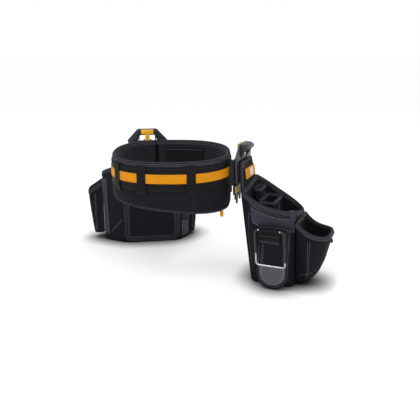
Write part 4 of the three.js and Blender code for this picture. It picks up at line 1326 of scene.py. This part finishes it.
def make_front_pocket(hub):
    def held(x, _y, _z):
        return ease(x, RIGHT_FRONT + 0.004, RIGHT_FRONT + 0.040)

    wander = cloth_wander(seed=43, bulge=0.0115, folds=0.0014, held=held, low_belly=0.62)
    pocket = Pocket(
        hub, front_pocket_outline, wander, bottom=0.007, rim=front_pocket_rim,
        wall=0.0034, foot=0.015, rows=40, levels=(0.007, 0.150, 0.1501, 0.30),
    )
    pocket.sew("right_front_pocket")
    lines = []
    for y in (FRONT_POCKET_Y - 0.052, FRONT_POCKET_Y + 0.052):
        for x in (RIGHT_FRONT + 0.036, RIGHT_FRONT + 0.040):
            lines.append(upright(x, y, 0.022, 0.140, 10))
    slanting = np.linspace(RIGHT_FRONT + 0.012, 0.262, 14)
    lines.append([(x, -0.062, 0.030 + 0.25 * (x - RIGHT_FRONT)) for x in slanting])
    wall_seam("right_front_pocket_seams", pocket, lines)
    make_pocket_loop(pocket)


def make_pocket_loop(pocket):
    """A short loop of tape, both ends sewn to the pocket's wall, that stands off it and hangs down."""
    width, size = 0.012, 0.011
    s, t = pocket.spot(0.276, FRONT_POCKET_Y, 0.137)
    anchor, outward = pocket.face.at(s, t), pocket.face.normal(s, t)
    reach = (
        (0.0, 0.0), (0.0022, 0.1), (0.0048, 0.5), (0.0046, 0.9), (0.0026, 1.05), (0.0012, 0.8), (0.0008, 0.2),
    )
    path = np.array([anchor + outward * (0.0006 + out) - UP * size * down for out, down in reach])
    path = spaced(path, 0.0008)[0]
    normals = np.cross(tangents(path), unit(np.cross(UP, outward)))
    tab = ribbon("front_pocket_loop", path, normals, width, 0.0010, WEB_CLOTH, across=6)
    add_piece(tab, "right_pouch", "webbing")


# ---------------------------------------------------------------- hammer holder
def hammer_outline(half, top, bottom):
    """A panel with a half-round foot, anticlockwise."""
    turn = np.linspace(math.pi, 2 * math.pi, 40)
    arc = [(HAMMER_X + half * math.cos(a), bottom + half + half * math.sin(a)) for a in turn]
    return np.array([*arc, (HAMMER_X + half, top), (HAMMER_X - half, top)])


def hammer_face_at(z):
    return HAMMER_FACE - HAMMER_SPLAY * (HAMMER_TOP - z)


def hammer_place(hub, u, v, w):
    """The point at x=u, z=v, and w out from the hammer panel's inner face."""
    return hub.points(np.array((u, hammer_face_at(v) - w, v)))


def make_hammer_holder(hub):
    body = "right_pouch"
    place = partial(hammer_place, hub)
    thick, edge_thick = HAMMER_THICK, HAMMER_EDGE_THICK
    outline = hammer_outline(HAMMER_HALF, HAMMER_TOP, HAMMER_FOOT)
    panel = padded_panel("hammer_panel_body", outline, place, thick, edge_thick, BAG_CLOTH, 60, 34, 7)
    add_piece(panel, body, "bag_cloth", ("hammer_panel",))
    panel_tape("hammer_panel_tape", outline, place, thick, edge_thick, body, DARK_TAPE)
    rows = panel_rows(outline, place, thick - 0.0001, (0.0145, 0.0175))
    stitch_rows("hammer_panel_stitches", rows, body, "bag_cloth", PALE_THREAD, True)
    patch_line = hammer_outline(HAMMER_PATCH_HALF, HAMMER_PATCH_TOP, HAMMER_PATCH_FOOT)
    patch = padded_panel(
        "hammer_patch_body", patch_line, lambda u, v, w: place(u, v, thick + 0.0002 + w),
        0.0016, 0.0012, COATED_PATCH, 24, 30, 9,
    )
    add_piece(patch, body, "grey_nylon", ("hammer_patch",))
    rows = panel_rows(patch_line, place, thick + 0.0019, (0.003, 0.0055))
    stitch_rows("hammer_patch_stitches", rows, body, "grey_nylon", PALE_THREAD, True)
    make_sleeve(hub)
    make_wire(hub)


def make_sleeve(hub):
    """A strap folded round the wire's top bar and sewn to the panel below it."""
    radius, thick = 0.0041, 0.0016
    turn = np.linspace(math.radians(-60), math.radians(240), 22)
    round_wire = [(LOOP_Y - radius * math.cos(a), LOOP_Z + radius * math.sin(a)) for a in turn]
    heights = (0.128, 0.138, 0.148, 0.155)
    front = [(hammer_face_at(z) - 0.0125, z) for z in heights]
    back = [(hammer_face_at(z) - 0.0105, z) for z in heights[::-1]]
    line = np.array(front + round_wire + back)
    middle = HAMMER_X + LOOP_TOP_SHIFT
    path = hub.points(np.column_stack((np.full(len(line), middle), line)))
    normals = np.cross(hub.out, tangents(path))
    sleeve = ribbon("hammer_sleeve_strap", path, normals, 0.056, thick, WEB_CLOTH, across=20)
    add_piece(sleeve, "right_pouch", "grey_nylon", ("hammer_sleeve",))
    rows = []
    for z in (0.132, 0.136, 0.150):
        y = hammer_face_at(z) - 0.0134
        points = hub.points(np.array([(middle + x, y, z) for x in np.linspace(-0.025, 0.025, 14)]))
        rows.append((points, np.tile(-hub.across, (len(points), 1))))
    stitch_rows("hammer_sleeve_stitches", rows, "right_pouch", "grey_nylon", PALE_THREAD)


def make_wire(hub):
    """The steel loop that swings on its top bar, with black tubes over both arms that make the arms dark."""
    half, drop, corner = 0.040, 0.090, 0.010
    splay = math.tan(math.radians(14))
    slant = (LOOP_FOOT_SHIFT - LOOP_TOP_SHIFT) / drop
    corners = []
    for x, down in ((-half, 0), (-half, drop), (half, drop), (half, 0)):
        middle = HAMMER_X + LOOP_TOP_SHIFT + slant * down
        corners.append(np.array((middle + x, LOOP_Y - down * splay, LOOP_Z - down)))
    line = []
    for i, here in enumerate(corners):
        start = here + unit(corners[i - 1] - here) * corner
        stop = here + unit(corners[(i + 1) % 4] - here) * corner
        line.append(bezier(start, here, stop, 16))
    path = spaced(hub.points(np.vstack(line)), 0.0016, True)[0]
    flat = hub.directions(unit(np.array((0.0, 1.0, -splay))))
    wire = tube("hammer_wire_loop", path, flat, WIRE_RADIUS, STEEL, True)
    add_piece(wire, "hammer_wire", "steel_wire", ("hammer_loop",))
    reach = (path - hub.origin) @ hub.out - HAMMER_X - LOOP_TOP_SHIFT
    above_foot = path[:, 2] > LOOP_Z - 0.86 * drop
    for end, chosen in (("near", reach < -0.0305), ("far", reach > 0.0305)):
        arm = path[chosen & above_foot]
        # black tubes round the arms, which make the arms dark
        dark_arm_tube = tube(f"hammer_wire_{end}_cover", arm, flat, WIRE_DARK_TUBE_RADIUS, BLACK_PLASTIC)
        add_piece(dark_arm_tube, "hammer_wire", "black_plastic")


def tube(name, path, flat, radius, material, closed=False):
    """A round rod along a path that lies in the plane square to flat."""
    along = tangents(path, closed)
    square = unit(np.cross(flat, along))
    third = np.cross(along, square)
    turns = np.linspace(0, 2 * math.pi, 17)[:-1]
    loops = []
    for point, x, y in zip(path, square, third):
        loops.append([point + radius * (math.cos(a) * x + math.sin(a) * y) for a in turns])
    return loft(name, loops, material, 80, closed)


# ---------------------------------------------------------------- tags
def make_tags(hub):
    body = "right_pouch"
    square = unit(np.array((1.0, 0.0, LEAN["right"])))

    def place(u, v, w):
        return hub.points(np.array((hub.back_at(v) + 0.0003, u, v)) + square * w)

    label = np.array([(-0.026, 0.282), (0.0545, 0.282), (0.0535, 0.312), (-0.026, 0.312)])
    tag = padded_panel("right_tag_label", label, place, 0.0013, 0.0010, STRIPE_CLOTH, 14, 18, 4)
    add_piece(tag, body, "yellow_cloth", ("right_tag",))
    inner = np.array([(0.008, 0.286), (0.034, 0.286), (0.034, 0.308), (0.008, 0.308)])
    patch = padded_panel(
        "right_tag_patch_label", inner, lambda u, v, w: place(u, v, 0.0016 + w),
        0.0008, 0.0006, LABEL_CLOTH, 12, 12, 5,
    )
    add_piece(patch, body, "white_cloth", ("right_tag_patch",))
    rows = panel_rows(label, place, 0.0014, (0.0018,))
    stitch_rows("right_tag_stitches", rows, body, "yellow_cloth", GOLD_THREAD, True)


def make_mouth_tab(pocket):
    """A flat grey tab folded over the front corner of the mouth."""
    spot = (RIGHT_FRONT - 0.008, SHIFT["right"] - RIGHT_HALF + 0.008)
    foot = pocket.spot(*spot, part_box("right_mouth_tab")[0].z)[0]
    s, t = pocket.spot(*spot, 0.200)
    outward = unit(pocket.face.normal(s, t) * (1, 1, 0))
    rim = pocket.face.at(1.0, t)
    steps = np.linspace(foot, 1.0, 8)
    outside = [pocket.face.at(s, t) + outward * 0.0021 for s in steps]
    over = [rim + UP * 0.0022 + outward * share for share in (0.0010, -pocket.wall - 0.0014)]
    inside = [pocket.face.at(s, t) - outward * (pocket.wall + 0.0030) for s in steps[:3:-1]]
    path = spaced(np.array(outside + over + inside), 0.0012)[0]
    normals = np.cross(tangents(path), unit(np.cross(UP, outward)))
    tab = ribbon("right_mouth_tab_loop", path, normals, 0.016, 0.0009, GREY_NYLON)
    add_piece(tab, "right_pouch", "grey_nylon", ("right_mouth_tab",))


# ---------------------------------------------------------------- left pouch
def left_rim(x, _y):
    return 0.212 + 0.052 * (max(0.0, LEFT_FRONT - x) / 0.125) ** 2


def left_main_outline(hub, z):
    back = hub.back_at(z) + 0.0003
    low, high = SHIFT["left"] - LEFT_PANEL_HALF, SHIFT["left"] + LEFT_PANEL_HALF
    near, far = LEFT_MIDDLE - LEFT_HALF, LEFT_MIDDLE + LEFT_HALF
    return round_loop([
        (back, low, 0.006), (back + 0.042, near + 0.0003, 0.012), (LEFT_FRONT - 0.0003, near + 0.006, 0.022),
        (LEFT_FRONT - 0.0003, far - 0.006, 0.022), (back + 0.042, far - 0.0003, 0.012), (back, high, 0.006),
    ], 180)


def left_main_held(x, _y, z):
    """0 where the wall is held against another piece, and 1 where it hangs free."""
    on_panel = ease(x, 0.036, 0.052)
    by_front = 1 - ease(x, 0.140, 0.158) * (1 - ease(z, 0.160, 0.172))
    by_flank = 1 - ease(x, 0.070, 0.082) * (1 - ease(x, 0.140, 0.152)) * (1 - ease(z, 0.198, 0.206))
    return on_panel * by_front * by_flank


def flank_outline(side, reach, bottom, low_rim, z):
    opened = min(1.0, max(0.0, (z - bottom) / (low_rim - bottom)))
    inner = LEFT_MIDDLE + side * FLANK_INNER
    outer = LEFT_MIDDLE + side * (FLANK_INNER + reach * (0.7 + 0.3 * opened))
    corners = [(0.084, inner, 0.006), (0.084, outer, 0.012), (0.138, outer, 0.012), (0.138, inner, 0.006)]
    return round_loop(corners[::-1] if side > 0 else corners, 80)


def make_flank_pocket(hub, node, side, reach, bottom, low_rim, high_rim):
    """A pocket on one end wall of the left pouch, with a flange sewn along it."""
    def rim(_x, y):
        return low_rim + (high_rim - low_rim) * (1 - (abs(y - LEFT_MIDDLE) - FLANK_INNER) / reach)

    def held(_x, y, _z):
        return ease(abs(y - LEFT_MIDDLE) - FLANK_INNER, 0.001, 0.010)

    outline = partial(flank_outline, side, reach, bottom, low_rim)
    wander = cloth_wander(57 + int(reach * 1000), bulge=0.0012, folds=0.0009, held=held)
    levels = (bottom, low_rim, low_rim + 1e-4, 0.3)
    pocket = Pocket(hub, outline, wander, bottom, rim, wall=0.0027, rows=30, levels=levels)
    pocket.sew(node, 0.010)
    wall = LEFT_MIDDLE + side * LEFT_HALF
    edge = sorted((wall - side * 0.0010, wall + side * 0.0080))
    flange = ((0.0835, 0.0868), edge, (bottom + 0.004, low_rim - 0.002))
    bars(f"{node}_flange", [flange], hub, DARK_TAPE, "left_pouch", "binding_tape", 0.0012)
    y = LEFT_MIDDLE + side * (FLANK_INNER + reach * 0.5)
    lines = [upright(0.0842, y + shift, bottom + 0.012, low_rim - 0.006, 8) for shift in (0, 0.0035)]
    wall_seam(f"{node}_seams", pocket, lines)


def left_front_outline(z):
    front = LEFT_FRONT + 0.024 + 0.014 * min(1.0, z / 0.140)
    return round_loop([
        (LEFT_FRONT + 0.0003, -0.088, 0.007), (front, -0.088, 0.016), (front, 0.088, 0.016),
        (LEFT_FRONT + 0.0003, 0.088, 0.007),
    ], 110)


def make_left_front_pocket(hub):
    def held(x, _y, _z):
        return ease(x, LEFT_FRONT + 0.003, LEFT_FRONT + 0.014)

    def rim(x, _y):
        return 0.142 + 0.018 * max(0.0, LEFT_FRONT + 0.038 - x) / 0.038

    wander = cloth_wander(seed=71, bulge=0.0018, folds=0.0013, held=held)
    levels = (0.002, 0.140, 0.1401, 0.3)
    pocket = Pocket(
        hub, left_front_outline, wander, bottom=0.002, rim=rim, wall=0.0034, rows=34, levels=levels,
    )
    pocket.sew("left_front_pocket")
    seams = (-0.0015, 0.0015, -0.070, 0.070)
    lines = [upright(LEFT_FRONT + 0.038, y, 0.014, 0.128, 8) for y in seams]
    wall_seam("left_front_pocket_seams", pocket, lines)


def make_left_pouch(hub):
    leaf_panel(hub, LEFT_PANEL_HALF, 0.232)
    wander = cloth_wander(seed=63, bulge=0.0030, folds=0.0020, held=left_main_held)
    outline = partial(left_main_outline, hub)
    pocket = Pocket(hub, outline, wander, bottom=0.0, rim=left_rim, wall=0.0036)
    pocket.sew("left_main_pocket", MAIN_TAPE_WIDTH)
    make_left_trim(pocket)
    make_flank_pocket(
        hub, "left_outer_flank_pocket", side=1, reach=0.046, bottom=0.022, low_rim=0.168, high_rim=0.198,
    )
    make_flank_pocket(
        hub, "left_inner_flank_pocket", side=-1, reach=0.026, bottom=0.010, low_rim=0.120, high_rim=0.138,
    )
    make_left_front_pocket(hub)


def make_left_trim(pocket):
    """Nylon facings on the gussets, a net patch, and the gussets' slanting seams."""
    far, near = LEFT_MIDDLE + LEFT_HALF, LEFT_MIDDLE - LEFT_HALF
    panel_far, panel_near = SHIFT["left"] + LEFT_PANEL_HALF, SHIFT["left"] - LEFT_PANEL_HALF
    outer = (0.062, far - 0.016), (0.079, far)
    inner = (0.042, panel_near - 0.008), (0.072, near + 0.008)
    facing(pocket, "left_outer_facing", *outer, (0.020, 0.214), GREY_NYLON, "grey_nylon")
    facing(pocket, "left_inner_facing", *inner, (0.010, 0.064), GREY_NYLON, "grey_nylon")
    facing(pocket, "left_net_patch", *inner, (0.070, 0.098), LINING, "lining_mesh")
    lines = []
    for shift in (0.0, 0.0045):
        lines.append([(0.040, panel_far + 0.006, 0.074 + shift), (0.058, far - 0.022, 0.030 + shift)])
        lines.append([(0.040, panel_near - 0.006, 0.150 + shift), (0.064, near + 0.014, 0.118 + shift)])
    wall_seam("left_gusset_seams", pocket, lines)


def facing(pocket, name, start, stop, heights, material, slot):
    """A thin patch on a pocket's wall between two plan positions and two heights."""
    middle = sum(heights) / 2
    t0 = pocket.spot(*start, middle)[1]
    t1 = pocket.spot(*stop, middle)[1]
    if abs(t1 - t0) > 0.5:
        t0, t1 = min(t0, t1) + 1.0, max(t0, t1)
    t0, t1 = sorted((t0, t1))
    s0, s1 = (pocket.spot(*start, height)[0] for height in heights)
    patch = pocket.face.slab(name, (s0, s1), (t0, t1), 0.0009, material, (30, 16))
    add_piece(patch, "left_pouch", slot)
    margin = (s1 - s0) * 0.06
    up, over = (s0 + margin, s1 - margin), (t0 + 0.004, t1 - 0.004)
    rows = [pocket.face.line([(s, t) for t in np.linspace(*over, 14)], 0.0014) for s in up]
    rows += [pocket.face.line([(s, t) for s in np.linspace(*up, 24)], 0.0014) for t in over]
    stitch_rows(f"{name}_stitches", rows, "left_pouch", slot, PALE_THREAD)


def make_right_pouch(hub):
    leaf_panel(hub, 0.068, 0.234)
    pocket = make_right_main(hub)
    make_near_band(pocket)
    make_right_inner_pockets(hub)
    make_front_pocket(hub)
    make_hammer_holder(hub)
    make_tags(hub)
    make_mouth_tab(pocket)


# ---------------------------------------------------------------- studio
def contact_shade(n, base):
    """Grey that deepens where the floor is close under something."""
    shade = n.add("ShaderNodeAmbientOcclusion", samples=8)
    n.feed(shade, Color=(base, base, base, 1), Distance=0.065)
    return n.feed(n.add("ShaderNodeGamma"), Color=shade.outputs["Color"], Gamma=1.9).outputs["Color"]


def stage_mesh(name, vertices, faces, base, glow):
    mesh = bpy.data.meshes.new(name)
    mesh.from_pydata(vertices, [], faces)
    n = Nodes(name)
    n.feed(n.shader, Base_Color=(base, base, base, 1), Roughness=0.9, Specular_IOR_Level=0.1)
    n.feed(n.shader, Emission_Color=(1, 1, 1, 1), Emission_Strength=glow)
    if glow == 0:
        n.feed(n.shader, Base_Color=contact_shade(n, base))
    mesh.materials.append(n.material)
    linked(name, mesh)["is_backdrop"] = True


def stage_light(name, kind, location, power, size):
    light = bpy.data.lights.new(name, kind)
    light.energy = power
    if kind == "SUN":
        light.angle = size
    else:
        light.size = size
    lamp = linked(name, light)
    lamp.location = location
    lamp.rotation_euler = (Vector((0, 0, 0.15)) - Vector(location)).to_track_quat("-Z", "Y").to_euler()
    lamp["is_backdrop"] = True


def make_studio():
    """A white floor and far white walls, lit evenly with a broad lamp overhead."""
    scene = bpy.context.scene
    scene.view_settings.view_transform = "Standard"
    half, top = 20.0, 6.0
    low = -0.0004
    square = [(-half, -half), (half, -half), (half, half), (-half, half)]
    stage_mesh("floor", [(x, y, low) for x, y in square], [(0, 1, 2, 3)], 0.96, 0.0)
    wall = [(x, y, z) for z in (low, top) for x, y in square]
    stage_mesh("backdrop", wall, [(k, (k + 1) % 4, (k + 1) % 4 + 4, k + 4) for k in range(4)], 0.0, 1.0)
    world = bpy.data.worlds.new("studio")
    world.use_nodes = True
    background = world.node_tree.nodes["Background"]
    background.inputs["Color"].default_value = (1, 1, 1, 1)
    background.inputs["Strength"].default_value = 0.70
    scene.world = world
    stage_light("overhead", "SUN", (-0.2, -0.3, 2.4), 1.05, 0.8)
    stage_light("key", "AREA", (-0.8, -1.6, 1.9), 13, 1.4)
    stage_light("fill", "AREA", (1.9, -1.2, 1.5), 7, 1.8)
    stage_light("back", "AREA", (0.2, 1.3, 2.2), 10, 1.2)


make_camera()
hubs = {side: Hub(side) for side in ("left", "right")}
make_pads()
make_straps()
make_guard_patch()
make_pull_tab()
make_hardware(hubs)
make_left_pouch(hubs["left"])
make_right_pouch(hubs["right"])
make_studio()

before, after = CAD_BOUNDS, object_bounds()
{"cad": [list(p) for p in before], "visual": [list(p) for p in after]}
